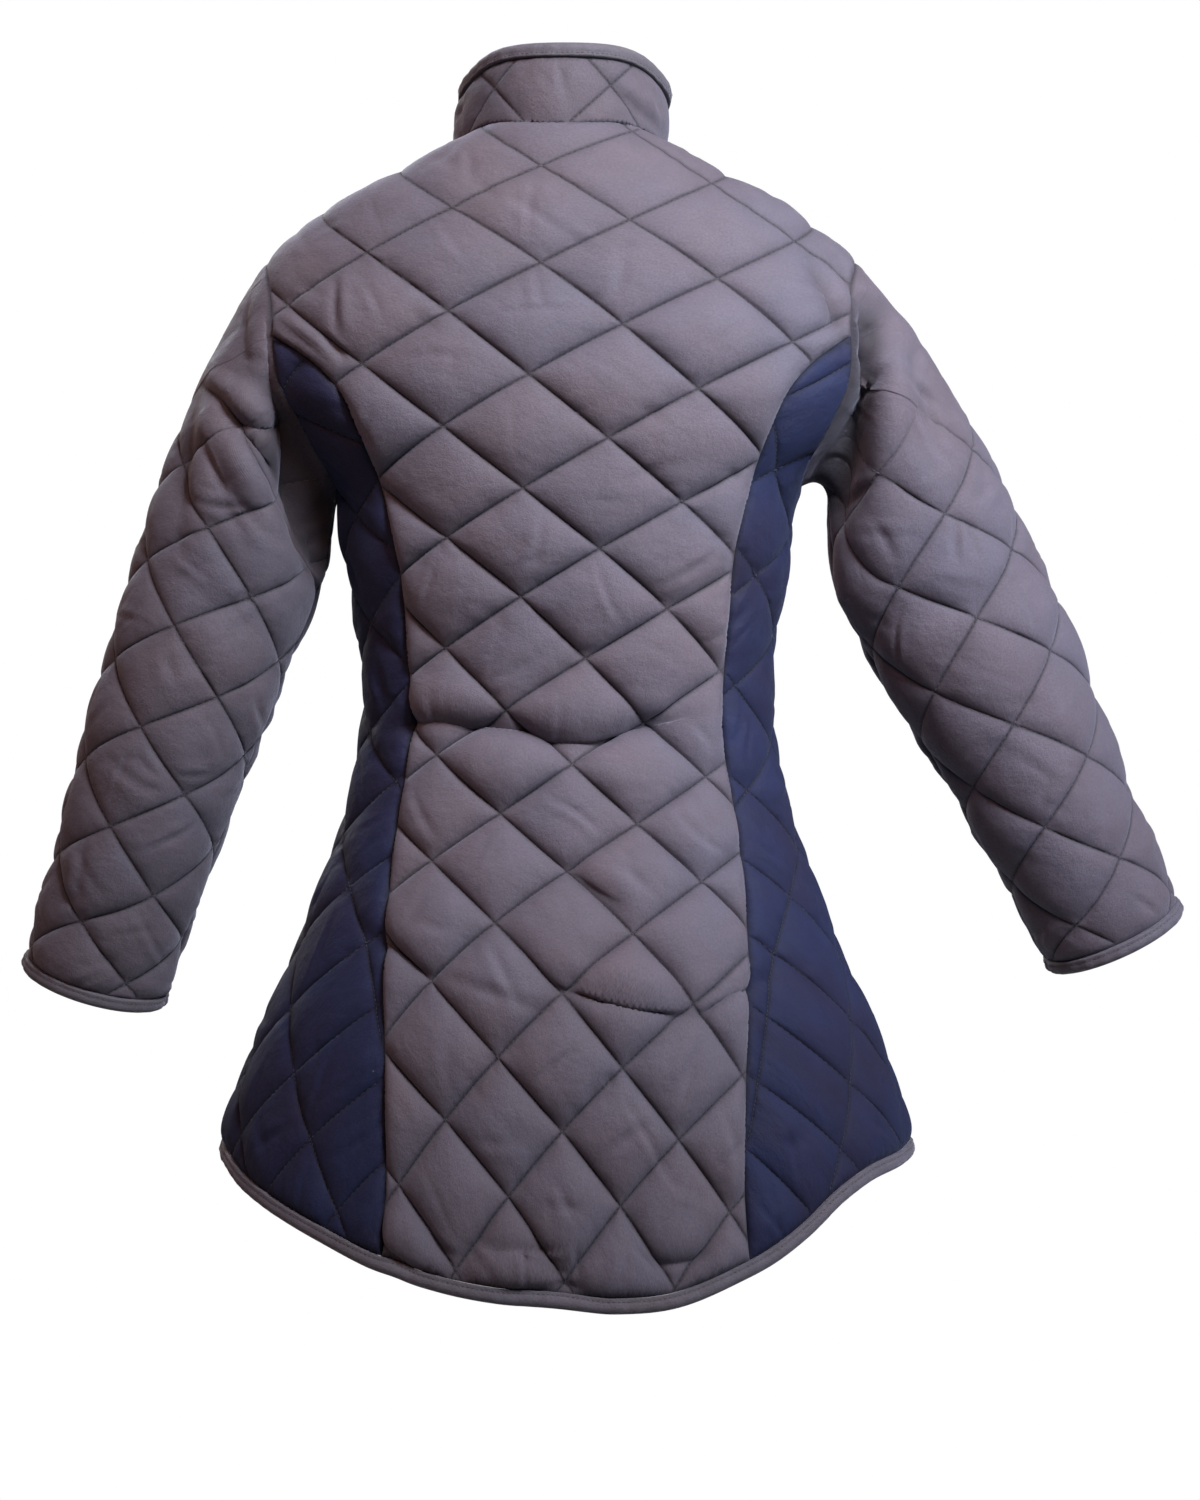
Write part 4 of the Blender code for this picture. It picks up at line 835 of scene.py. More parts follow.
class SleeveChart:
    """Flat pattern of a sleeve with a turned diamond lattice."""

    def __init__(self, sleeve, width, height, turn, shift):
        self.sleeve = sleeve
        self.cell = (width, height)
        self.cosine = math.cos(math.radians(turn))
        self.sine = math.sin(math.radians(turn))
        self.shift = shift

    def flat(self, angle, down):
        across = np.radians(angle - BACK_MIDDLE) * self.sleeve.radius(down)
        first = across * self.cosine + down * self.sine + self.shift[0]
        second = down * self.cosine - across * self.sine + self.shift[1]
        return np.stack([first / self.cell[0], second / self.cell[1]], axis=-1)

    def place(self, flat):
        first = flat[:, 0] * self.cell[0] - self.shift[0]
        second = flat[:, 1] * self.cell[1] - self.shift[1]
        across = first * self.cosine - second * self.sine
        down = second * self.cosine + first * self.sine
        return np.degrees(across / self.sleeve.radius(down)) + BACK_MIDDLE, down

    def surface(self, angle, down):
        return self.sleeve.point(angle, down), self.sleeve.normal(angle, down)

    def loft(self, angle, down):
        """Share of the full puff: the padding is squeezed flat where the sleeve bends under the arm."""
        turned = np.abs((angle + HALF_TURN) % 360 - HALF_TURN)
        under = np.clip((turned - UNDERARM_START) / UNDERARM_BLEND, 0, 1)
        near = np.clip(1 - (down - self.sleeve.start(angle)[0]) / UNDERARM_LENGTH, 0, 1)
        return 1 - under * near

    def quilted(self, angle, down):
        """Share of the quilting's depth: the cap is pulled nearly smooth."""
        top, bottom = CAP_SMOOTH[self.sleeve.side]
        middle = -self.sleeve.start(0 * angle)[0]
        return soft_step((down + middle - top) / (bottom - top))

    def fold(self, points, normals):
        return placed_depth(points, normals[:, 1], SLEEVE_SHAPE)


class CollarChart:
    """Flat pattern of the collar, on lengths at mid height."""

    cell = (0.105, 0.080)
    radius = NECK_RADIUS
    depth = 0.046

    def flat(self, angle, height):
        return np.stack([np.radians(angle - BACK_MIDDLE) * self.radius / self.cell[0] + 0.10,
                         height * self.depth / self.cell[1] + 0.15], axis=-1)

    def place(self, flat):
        angle = np.degrees((flat[:, 0] - 0.10) * self.cell[0] / self.radius) + BACK_MIDDLE
        return angle, (flat[:, 1] - 0.15) * self.cell[1] / self.depth

    def surface(self, angle, height):
        return collar_point(angle, height), collar_normal(angle, height)

    def fold(self, points, normals):
        return np.zeros(len(points))

    def loft(self, angle, height):
        return COLLAR_LOFT + 0 * angle

    def quilted(self, angle, height):
        return 1 + 0 * angle


# Shared mitre of the walls at each rim point, as a direction and a thickness.
RIMS = {}


def rim_key(point):
    return tuple(np.round(np.asarray(point) * 20000).astype(int))


def share_rim(points, first, second, thickness):
    """Two walls that meet at an angle share the mitre between their normals."""
    middle = unit(first + second)
    cosine = np.maximum(np.sum(middle * first, axis=-1), 1 / LONGEST_MITRE)
    for point, normal, scale in zip(points, middle, cosine):
        RIMS[rim_key(point)] = (normal / scale, thickness)


def mirrored(angle):
    return HALF_TURN - angle


def even_steps(start, end, length):
    count = max(2, int(round(abs(length) / OUTLINE_STEP)))
    return np.linspace(start, end, count + 1)


class Outline:
    """Closed outline of a panel in the two coordinates of its surface."""

    def __init__(self):
        self.first = []
        self.second = []

    def add(self, first, second):
        first = np.asarray(first, dtype=float)
        second = np.asarray(second, dtype=float)
        self.first.extend(first[:-1])
        self.second.extend(second[:-1])
        return self

    def arrays(self):
        return np.array(self.first), np.array(self.second)


def neck_angles(start, end):
    return even_steps(start, end, math.radians(end - start) * NECK_RADIUS)


def front_neck_angle():
    """Ring angle at which the left front's edge meets the neckline."""
    angle = FRONT_MIDDLE
    for _ in range(SETTLE_ROUNDS):
        angle = float(angle_at(neck_z(angle), TAPE_WIDTH + SEAM_GAP, False))
    return angle


def princess(back):
    """Angles and heights down the left seam between the side and the back or the front."""
    join = JOIN_STEPS * 360.0 / ARMHOLE_STEPS
    join_angle, join_z = armhole(join if back else -join)
    join_x = float(bare_body_point(join_angle, join_z)[0])
    name = "back" if back else "front"
    heights = np.concatenate([[join_z], column(PANEL_SEAMS, SEAM_COLUMNS, "z")])
    offsets = np.concatenate([[join_x], column(PANEL_SEAMS, SEAM_COLUMNS, name)])
    hem = HEM_START
    for _ in range(SETTLE_ROUNDS):
        hem = float(hem_z(angle_at(hem, smooth(hem, heights, offsets), back)))
    levels = even_steps(float(join_z), hem, hem - float(join_z))
    angles = angle_at(levels, smooth(levels, heights, offsets), back)
    angles[0] = join_angle
    return angles, levels


def hem_run(start, end):
    angles = even_steps(start, end, math.radians(end - start) * HEM_RADIUS)
    return angles, hem_z(angles)


def shoulder_run():
    levels = even_steps(float(neck_z(0.0)), float(armhole(0.0)[1]), SHOULDER_LENGTH)
    return np.zeros_like(levels), levels


def armhole_run(start, end):
    angles = np.arange(start, end + (1 if end > start else -1), 1 if end > start else -1)
    return armhole(angles * 360.0 / ARMHOLE_STEPS)


def front_edge_run():
    start = front_neck_angle()
    top = float(neck_z(start))
    bottom = float(hem_z(FRONT_MIDDLE + 3.0))
    levels = even_steps(top, bottom, top - bottom)
    angles = angle_at(levels, TAPE_WIDTH + SEAM_GAP, False)
    levels[-1] = float(hem_z(angles[-1]))
    return angles, levels


def other_side(run):
    angles, levels = run
    return mirrored(angles), levels


def backwards(run):
    return run[0][::-1], run[1][::-1]


def back_hem_right(run):
    """Hem heights are their own on each side of the coat."""
    angles, levels = other_side(run)
    levels = levels.copy()
    levels[-1] = float(hem_z(angles[-1]))
    return angles, levels


def back_outline():
    left = princess(True)
    right = back_hem_right(left)
    outline = Outline()
    neck = neck_angles(0.0, HALF_TURN)
    outline.add(neck, neck_z(neck))
    outline.add(*other_side(shoulder_run()))
    outline.add(*other_side(armhole_run(0, JOIN_STEPS)))
    outline.add(*right)
    outline.add(*hem_run(right[0][-1], left[0][-1]))
    outline.add(*backwards(left))
    outline.add(*armhole_run(JOIN_STEPS, 0))
    outline.add(*backwards(shoulder_run()))
    return outline.arrays()


def side_runs(side):
    back = princess(True)
    front = princess(False)
    hole = armhole_run(ARMHOLE_STEPS - JOIN_STEPS, JOIN_STEPS)
    if side == "left":
        return back, front, hole
    return back_hem_right(back), other_side(front), other_side(hole)


def side_outline(side):
    back, front, hole = side_runs(side)
    turns = -360.0 if front[0][-1] - back[0][-1] > HALF_TURN else 0.0
    outline = Outline()
    outline.add(*back)
    outline.add(*hem_run(back[0][-1], front[0][-1] + turns))
    outline.add(*backwards((front[0] + turns, front[1])))
    outline.add(*hole)
    return outline.arrays()


def front_outline(side):
    edge = front_edge_run()
    seam = princess(False)
    neck = neck_angles(0.0, edge[0][0])
    runs = [
        (neck, neck_z(neck)),
        edge,
        hem_run(edge[0][-1], seam[0][-1]),
        backwards(seam),
        armhole_run(ARMHOLE_STEPS - JOIN_STEPS, ARMHOLE_STEPS),
        backwards(shoulder_run()),
    ]
    outline = Outline()
    for run in runs:
        outline.add(*(run if side == "left" else other_side(run)))
    return outline.arrays()


def collar_end_run():
    """Left front end of the collar, as far from the middle plane as the front's edge is."""
    heights = np.linspace(0.0, 1.0, COLLAR_END_STEPS + 1)
    angles = np.full(len(heights), front_neck_angle())
    for _ in range(8):
        reach = (collar_point(angles, heights) - collar_stance(angles, heights))[:, 0]
        angles = FRONT_MIDDLE + (angles - FRONT_MIDDLE) * (TAPE_WIDTH + SEAM_GAP) / reach
    return angles, heights


def collar_runs():
    """Angles along the collar's lower and upper edge, from its left end to its right end."""
    end = collar_end_run()[0]
    left = neck_angles(0.0, front_neck_angle())[::-1]
    lower = np.concatenate([left[:-1], neck_angles(0.0, HALF_TURN)[:-1], mirrored(left[::-1])])
    upper = lower.copy()
    upper[0] = end[-1]
    upper[-1] = mirrored(end[-1])
    return lower, upper


def collar_outline():
    lower, upper = collar_runs()
    end = collar_end_run()
    outline = Outline()
    outline.add(lower, 0 * lower)
    outline.add(*other_side(end))
    outline.add(upper[::-1], 0 * upper + 1.0)
    outline.add(*backwards(end))
    return outline.arrays()


def sleeve_outline(sleeve):
    seam = HALF_TURN
    cap = np.linspace(-seam, seam, ARMHOLE_STEPS + 1)
    start = sleeve.start(cap)[0]
    cuff = np.linspace(seam, -seam, ARMHOLE_STEPS + 1)
    seam_levels = even_steps(float(start[-1]), sleeve.cuff(), sleeve.cuff() - float(start[-1]))
    outline = Outline()
    outline.add(cap, start)
    outline.add(np.full(len(seam_levels), seam), seam_levels)
    outline.add(cuff, np.full(len(cuff), sleeve.cuff()))
    outline.add(np.full(len(seam_levels), -seam), seam_levels[::-1])
    return outline.arrays()


def signed_area(loop):
    after = np.roll(loop, -1, axis=0)
    return float(np.sum(loop[:, 0] * after[:, 1] - loop[:, 1] * after[:, 0])) / 2


def winding_of(loop):
    return 1 if signed_area(loop) > 0 else -1


def faces_within(faces, loop):
    """Faces reached from the inner side of the outline's edges without crossing the outline."""
    count = len(loop)
    owner = {}
    for number, face in enumerate(faces):
        for place, corner in enumerate(face):
            owner[(corner, face[(place + 1) % 3])] = number
    step = winding_of(loop)
    rim = [(place, (place + 1) % count) for place in range(count)]
    waiting = [owner[(a, b) if step > 0 else (b, a)] for a, b in rim]
    border = set(rim) | {(b, a) for a, b in rim}
    found = set()
    while waiting:
        number = waiting.pop()
        if number in found:
            continue
        found.add(number)
        face = faces[number]
        for place, corner in enumerate(face):
            edge = (face[(place + 1) % 3], corner)
            if edge not in border and edge in owner:
                waiting.append(owner[edge])
    return [faces[number] for number in sorted(found)]


def inward_shift(points, normals):
    """Unit steps into the panel, square to both edges at each rim point."""
    before = unit(points - np.roll(points, 1, axis=0))
    after = unit(np.roll(points, -1, axis=0) - points)
    first = unit(np.cross(normals, before))
    second = unit(np.cross(normals, after))
    scale = np.maximum(1 + np.sum(first * second, axis=1, keepdims=True), 0.5)
    return (first + second) / scale


def edge_frame(points, normals, closed):
    """Directions that point away from the panel along an edge, square to its normals."""
    if closed:
        along = np.roll(points, -1, axis=0) - np.roll(points, 1, axis=0)
    else:
        along = np.gradient(points, axis=0)
    return unit(np.cross(unit(along), normals))


def facing(vectors, wanted):
    """The same vectors, turned over together where they point against a wanted direction."""
    return vectors if np.sum(vectors * wanted) > 0 else -vectors


def trim_ends(points, amount):
    points = points.copy()
    points[0] += unit(points[1] - points[0]) * amount
    points[-1] += unit(points[-2] - points[-1]) * amount
    return points


def square_ends(*fields):
    """Both ends of an edge lie in planes that face straight across the front opening."""
    for vectors in fields:
        for place in (0, -1):
            vectors[place, 0] = 0.0
            vectors[place] = unit(vectors[place])


def share_mitres(sleeves):
    """The walls meet at the armholes and the neckline under shared mitres."""
    angles = collar_runs()[0]
    levels = neck_z(angles)
    share_rim(body_point(angles, levels), body_normal(angles, levels), collar_normal(angles, 0 * angles),
              NECK_SEAM)
    for sleeve in sleeves:
        turns = np.linspace(-HALF_TURN, HALF_TURN, ARMHOLE_STEPS + 1)
        angles, levels = armhole(turns)
        if sleeve.side == "right":
            angles = mirrored(angles)
        start = sleeve.start(turns)[0]
        share_rim(body_point(angles, levels), body_normal(angles, levels), sleeve.normal(turns, start),
                  ARMHOLE_SEAM)


def hashed(first, second, seed):
    value = np.sin(first * 127.1 + second * 311.7 + seed * 74.7) * 43758.5453
    return value - np.floor(value)


def noise(first, second, seed):
    """Smooth noise from -1 to 1, with features about one unit across."""
    low_first = np.floor(first)
    low_second = np.floor(second)
    a = first - low_first
    b = second - low_second
    a = a * a * (3 - 2 * a)
    b = b * b * (3 - 2 * b)
    near = hashed(low_first, low_second, seed) * (1 - a) + hashed(low_first + 1, low_second, seed) * a
    far = hashed(low_first, low_second + 1, seed) * (1 - a) + hashed(low_first + 1, low_second + 1, seed) * a
    return 2 * (near * (1 - b) + far * b) - 1


def rounded(share):
    """Profile of a stuffed edge: steep at the stitches, then nearly flat; share runs from 0 to 1."""
    share = np.clip(share, 0, 1)
    tight = (1 - (1 - share) ** 6.0) ** 0.60
    wide = (1 - (1 - share) ** 2.2) ** 0.80
    return TIGHTNESS * tight + (1 - TIGHTNESS) * wide


def outline_reach(points, loop):
    """Distance of flat points to a loop, length round it there, inside or not, and nearest corner."""
    count = len(loop)
    tree = KDTree(count)
    for number, corner in enumerate(loop):
        tree.insert((corner[0], corner[1], 0.0), number)
    tree.balance()
    nearest = np.array([tree.find((a, b, 0.0))[1] for a, b in points.tolist()], dtype=int)
    span = np.roll(loop, -1, axis=0) - loop
    sizes = np.linalg.norm(span, axis=1)
    starts = np.concatenate([[0.0], np.cumsum(sizes)[:-1]])
    turn = winding_of(loop)
    gaps, rounds, sides = [], [], []
    for shift in (-1, 0):
        edge = (nearest + shift) % count
        offset = points - loop[edge]
        share = np.clip(np.sum(offset * span[edge], axis=1) / sizes[edge] ** 2, 0, 1)
        gaps.append(np.linalg.norm(offset - share[:, None] * span[edge], axis=1))
        rounds.append(starts[edge] + share * sizes[edge])
        sides.append((span[edge, 0] * offset[:, 1] - span[edge, 1] * offset[:, 0]) * turn > 0)
    before = span[(nearest - 1) % count]
    after = span[nearest]
    convex = (before[:, 0] * after[:, 1] - before[:, 1] * after[:, 0]) * turn > 0
    inside = np.where(convex, sides[0] & sides[1], sides[0] | sides[1])
    closer = gaps[1] < gaps[0]
    return np.where(closer, gaps[1], gaps[0]), np.where(closer, rounds[1], rounds[0]), inside, nearest


def triangles_inside(loop, points, edges):
    """Triangles of a flat outline with inner points and inner lines."""
    count = len(loop)
    coords = [tuple(p) for p in loop] + [tuple(p) for p in points]
    lines = [(place, (place + 1) % count) for place in range(count)]
    lines += [(count + a, count + b) for a, b in edges]
    made = delaunay_2d_cdt(coords, lines, [], 0, 1e-8, True)
    sources = [min(found) if found else -1 for found in made[3]]
    if min(sources) < 0 or len(made[0]) != len(coords):
        raise ValueError("a quilting line crosses the outline")
    return faces_within([tuple(sources[k] for k in face) for face in made[2]], loop)


def lattice_steps(low, high):
    half = list(DIAMOND_SHARES)
    shares = np.array(half + [0.5] + [1 - share for share in half[:0:-1]])
    return np.concatenate([number + shares for number in range(math.floor(low), math.ceil(high) + 1)])


def quilt_lattice(loop, cell):
    """Inner points on a fine diamond lattice, crowded at the stitched lines, and those lines' edges."""
    flat = loop / np.array(cell)
    rows = lattice_steps((flat[:, 0] + flat[:, 1]).min(), (flat[:, 0] + flat[:, 1]).max())
    columns = lattice_steps((flat[:, 0] - flat[:, 1]).min(), (flat[:, 0] - flat[:, 1]).max())
    sums, gaps = np.meshgrid(rows, columns, indexing="ij")
    points = np.stack([(sums + gaps) / 2 * cell[0], (sums - gaps) / 2 * cell[1]], axis=-1)
    low = loop.min(axis=0)
    high = loop.max(axis=0)
    boxed = np.all((points > low) & (points < high), axis=-1)
    distance, round_rim, inside, nearest = outline_reach(points[boxed], loop)
    kept = inside & (distance > EDGE_MARGIN)
    number = np.full(boxed.shape, -1)
    places = np.argwhere(boxed)[kept]
    number[places[:, 0], places[:, 1]] = np.arange(len(places))
    edges = []
    stitched = [number[place] for place in np.flatnonzero(rows == np.round(rows))]
    stitched += [number[:, place] for place in np.flatnonzero(columns == np.round(columns))]
    for here in stitched:
        joined = np.flatnonzero((here[:-1] >= 0) & (here[1:] >= 0))
        edges.extend(zip(here[joined].tolist(), here[joined + 1].tolist()))
    return points[boxed][kept], (distance[kept], round_rim[kept], nearest[kept]), edges


def rim_ring(loop):
    """Points a little inside the outline, where the cloth turns down into the seam."""
    middle = (loop + np.roll(loop, -1, axis=0)) / 2
    edge = np.roll(loop, -1, axis=0) - loop
    inward = unit(np.stack([-edge[:, 1], edge[:, 0]], axis=1) * winding_of(loop))
    points = middle + inward * RIM_RING
    distance, round_rim, inside, nearest = outline_reach(points, loop)
    kept = inside & (distance > RIM_RING * 0.8)
    return points[kept], (distance[kept], round_rim[kept], nearest[kept])


def lining_points(loop):
    low = loop.min(axis=0)
    high = loop.max(axis=0)
    rows = np.arange(low[1], high[1], LINING_STEP * math.sin(math.radians(60)))
    across = np.arange(low[0], high[0], LINING_STEP)
    shift = LINING_STEP / 2 * (np.arange(len(rows)) % 2)
    points = np.stack([(across[None, :] + shift[:, None]).ravel(), np.repeat(rows, len(across))], axis=1)
    distance, _, inside, _ = outline_reach(points, loop)
    return points[inside & (distance > LINING_STEP * 0.35)]


def small_creases(flat, cell, seed):
    """Soft creases inside each diamond, as uneven as the cloth's: depth below the padding's crown."""
    sums = flat[:, 0] + flat[:, 1]
    gaps = flat[:, 0] - flat[:, 1]
    row = np.floor(sums)
    place = np.floor(gaps)
    middle = np.stack([(row + place + 1) / 2 * cell[0], (row - place) / 2 * cell[1]], axis=1)
    local = flat * np.array(cell) - middle
    total = np.zeros(len(flat))
    for number in range(SMALL_CREASES):
        base = seed + number * 13.0
        turn = np.pi * hashed(row, place, base + 1)
        width = SMALL_CREASE_WIDTH[0] + SMALL_CREASE_WIDTH[1] * hashed(row, place, base + 2)
        reach = SMALL_CREASE_REACH[0] + SMALL_CREASE_REACH[1] * hashed(row, place, base + 3)
        depth = SMALL_CREASE_DEPTH * hashed(row, place, base + 4) ** 2
        shift_first = SMALL_CREASE_SPREAD[0] * (hashed(row, place, base + 5) - 0.5)
        shift_second = SMALL_CREASE_SPREAD[1] * (hashed(row, place, base + 6) - 0.5)
        bend = SMALL_CREASE_BEND * (hashed(row, place, base + 7) - 0.5)
        along = local[:, 0] * np.cos(turn) + local[:, 1] * np.sin(turn) - shift_first
        over = local[:, 1] * np.cos(turn) - local[:, 0] * np.sin(turn) - shift_second + bend * along ** 2
        shape = np.exp(-(over / width) ** 2) - 0.5 * np.exp(-((over - 1.8 * width) / (1.4 * width)) ** 2)
        total -= depth * shape * np.exp(-(along / reach) ** 2)
    return total


def stitch_puckers(along, line, distance, seed):
    """Gathers that a stitched line pulls into the cloth on both its sides."""
    wave = noise(along / PUCKER_LENGTHS[0], line * 7.3, seed)
    wave = wave + 0.5 * noise(along / PUCKER_LENGTHS[1], line * 3.1, seed + 5)
    strength = 0.25 + 0.75 * soft_step(0.5 + noise(along / PUCKER_LENGTHS[2], line * 1.7, seed + 9))
    return wave * strength * np.exp(-distance / PUCKER_REACH) * (1 - np.exp(-distance / PUCKER_START))


class Cloth:
    """Outer face of one padded panel over its chart."""

    def __init__(self, chart, loop, rims, seed, puckers, fullness):
        self.chart = chart
        self.loop = loop
        self.rims = rims
        self.cell = np.array(chart.cell)
        self.seed = seed
        self.puckers = puckers
        self.fullness = fullness

    def outer(self, quilt, reach):
        """Points, normals, lift and painted shade of the outer face at flat places, given in metres."""
        distance, round_rim, nearest = reach
        rim = self.rims[nearest]
        flat = quilt / self.cell
        places = self.chart.place(flat)
        base, normals = self.chart.surface(*places)
        sums = flat[:, 0] + flat[:, 1]
        gaps = flat[:, 0] - flat[:, 1]
        row = np.floor(sums)
        column_number = np.floor(gaps)
        side = math.hypot(self.cell[0], self.cell[1]) / 2
        spacing = 1 / math.hypot(1 / self.cell[0], 1 / self.cell[1])
        from_row = np.abs(sums - np.round(sums)) * spacing
        from_column = np.abs(gaps - np.round(gaps)) * spacing
        quilted = self.chart.quilted(*places)
        crown = rounded(2 * from_row / spacing) * rounded(2 * from_column / spacing)
        crown = SMOOTH_CROWN + (crown - SMOOTH_CROWN) * quilted
        spread = FULLNESS_SPREAD[0] + FULLNESS_SPREAD[1] * hashed(row, column_number, self.seed)
        fullness = self.fullness * spread
        drop = (sums - row) - (gaps - column_number)
        slump = 1 + SLUMP * drop * hashed(row, column_number, self.seed + 3)
        loft = self.chart.loft(*places)
        lift = crown * fullness * slump
        thickness = STITCH_THICKNESS + (PUFF_THICKNESS - STITCH_THICKNESS) * lift * loft
        thickness += small_creases(flat, self.cell, self.seed) * crown * np.minimum(loft + 0.4, 1)
        ripple = stitch_puckers(gaps * side, np.round(sums), from_row, self.seed + 20)
        ripple += stitch_puckers(sums * side, np.round(gaps), from_column, self.seed + 40)
        thickness += self.puckers * ripple * quilted
        lumps = noise(quilt[:, 0] / LUMP_LENGTH, quilt[:, 1] / LUMP_LENGTH, self.seed + 60)
        thickness += LUMP_HEIGHT * lumps * crown
        edge = rounded(distance / SEAM_FADE)
        thickness = rim + (thickness - rim) * edge
        gather = noise(round_rim / 0.011, 0 * round_rim, self.seed + 80)
        thickness += self.puckers * 0.8 * gather * np.exp(-distance / 0.009) * edge
        crease = placed_depth(base, normals[:, 1], CREASES)
        room = np.clip(distance / 0.010, 0, 1) * np.clip((thickness - 0.0008) / 0.004, 0.25, 1)
        thickness += crease * room
        thickness = np.maximum(thickness, THINNEST)
        # Lift also sets the cloth's tone: low in the stitched lines, at the seams and in crease troughs,
        # which paints shade there, and high on the rolls beside creases, which paints highlight.
        lift = np.clip(lift * edge + crease / 0.006, 0, 1.3)
        # Painted shade: darker colour along the stitched lines and at the seams.
        line = np.minimum(from_row, from_column)
        painted_shade = np.maximum(quilted * np.exp(-(line / STITCH_PAINTED_SHADE_WIDTH) ** 2),
                            np.exp(-(distance / SEAM_PAINTED_SHADE_WIDTH) ** 2))
        # Painted shadow in deep folds, darkest where a fold is POCKET_DEPTH deep.
        painted_fold_shadow = np.clip(-self.chart.fold(base, normals) / POCKET_DEPTH, 0, 1)
        painted_shade = np.maximum(painted_shade, painted_fold_shadow)
        return base + normals * thickness[:, None], normals, lift, painted_shade


def stitched_dashes(cloth, parts):
    """Ends of each stitch along the quilting lines inside the outline."""
    cell = cloth.cell
    flat = cloth.loop / cell
    side = math.hypot(cell[0], cell[1]) / 2
    starts, ends = [], []
    for along_rows in (True, False):
        across = flat[:, 0] + flat[:, 1] if along_rows else flat[:, 0] - flat[:, 1]
        other = flat[:, 0] - flat[:, 1] if along_rows else flat[:, 0] + flat[:, 1]
        pitch = STITCH_PITCH / side
        steps = np.arange(math.floor(other.min() / pitch), math.ceil(other.max() / pitch)) * pitch
        for line in range(math.ceil(across.min()), math.floor(across.max()) + 1):
            for store, shift in ((starts, 0.0), (ends, STITCH_LENGTH / side)):
                along = steps + shift
                fixed = np.full_like(along, float(line))
                sums, gaps = (fixed, along) if along_rows else (along, fixed)
                store.append(np.stack([(sums + gaps) / 2 * cell[0], (sums - gaps) / 2 * cell[1]], axis=1))
    starts = np.concatenate(starts)
    ends = np.concatenate(ends)
    start_gap, start_round, start_in, start_near = outline_reach(starts, cloth.loop)
    end_gap, end_round, end_in, end_near = outline_reach(ends, cloth.loop)
    sewn = cloth.chart.quilted(*cloth.chart.place(starts / cell)) > 0.35
    kept = start_in & end_in & (start_gap > 0.002) & (end_gap > 0.002) & sewn
    first, normals, _, _ = cloth.outer(starts[kept], (start_gap[kept], start_round[kept], start_near[kept]))
    second, _, _, _ = cloth.outer(ends[kept], (end_gap[kept], end_round[kept], end_near[kept]))
    parts.append((first, second, normals))


def mesh_object(name, points, faces, material, attributes):
    mesh = bpy.data.meshes.new(name)
    mesh.from_pydata(points.tolist(), [], faces)
    mesh.materials.append(material)
    mesh.update()
    mesh.shade_smooth()
    for label, values in attributes.items():
        values = np.asarray(values, dtype=float)
        if values.ndim == 1:
            mesh.attributes.new(label, "FLOAT", "POINT").data.foreach_set("value", values)
        else:
            mesh.attributes.new(label, "FLOAT_VECTOR", "POINT").data.foreach_set("vector", values.ravel())
    made = bpy.data.objects.new(name, mesh)
    bpy.context.scene.collection.objects.link(made)
    return made


def thread_object(name, parts, material):
    """Every stitch of a piece as a small spindle that lies in the hollow of its stitched line."""
    start = np.concatenate([part[0] for part in parts])
    end = np.concatenate([part[1] for part in parts])
    up = np.concatenate([part[2] for part in parts])
    along = unit(end - start)
    side = unit(np.cross(along, up))
    up = np.cross(side, along)
    raised = up * THREAD_RADIUS * 0.6
    rings = [start + raised * 0.2]
    for share in (0.22, 0.78):
        middle = start + (end - start) * share + raised
        for turn in range(4):
            angle = math.radians(45 + 90 * turn)
            rings.append(middle + (side * math.cos(angle) + up * math.sin(angle)) * THREAD_RADIUS)
    rings.append(end + raised * 0.2)
    points = np.stack(rings, axis=1).reshape(-1, 3)
    count = len(start)
    pattern = []
    for turn in range(4):
        after = (turn + 1) % 4
        pattern.append((0, 1 + after, 1 + turn))
        pattern.append((1 + turn, 1 + after, 5 + after))
        pattern.append((1 + turn, 5 + after, 5 + turn))
        pattern.append((9, 5 + turn, 5 + after))
    pattern = np.array(pattern)
    faces = (pattern[None] + 10 * np.arange(count)[:, None, None]).reshape(-1, 3)
    flat = np.zeros_like(points)
    flat[:, 0] = np.repeat(np.arange(count) * STITCH_PITCH, 10)
    lift = np.full(len(points), THREAD_LIFT)
    return mesh_object(name, points, faces.tolist(), material, {"flat": flat, "lift": lift})


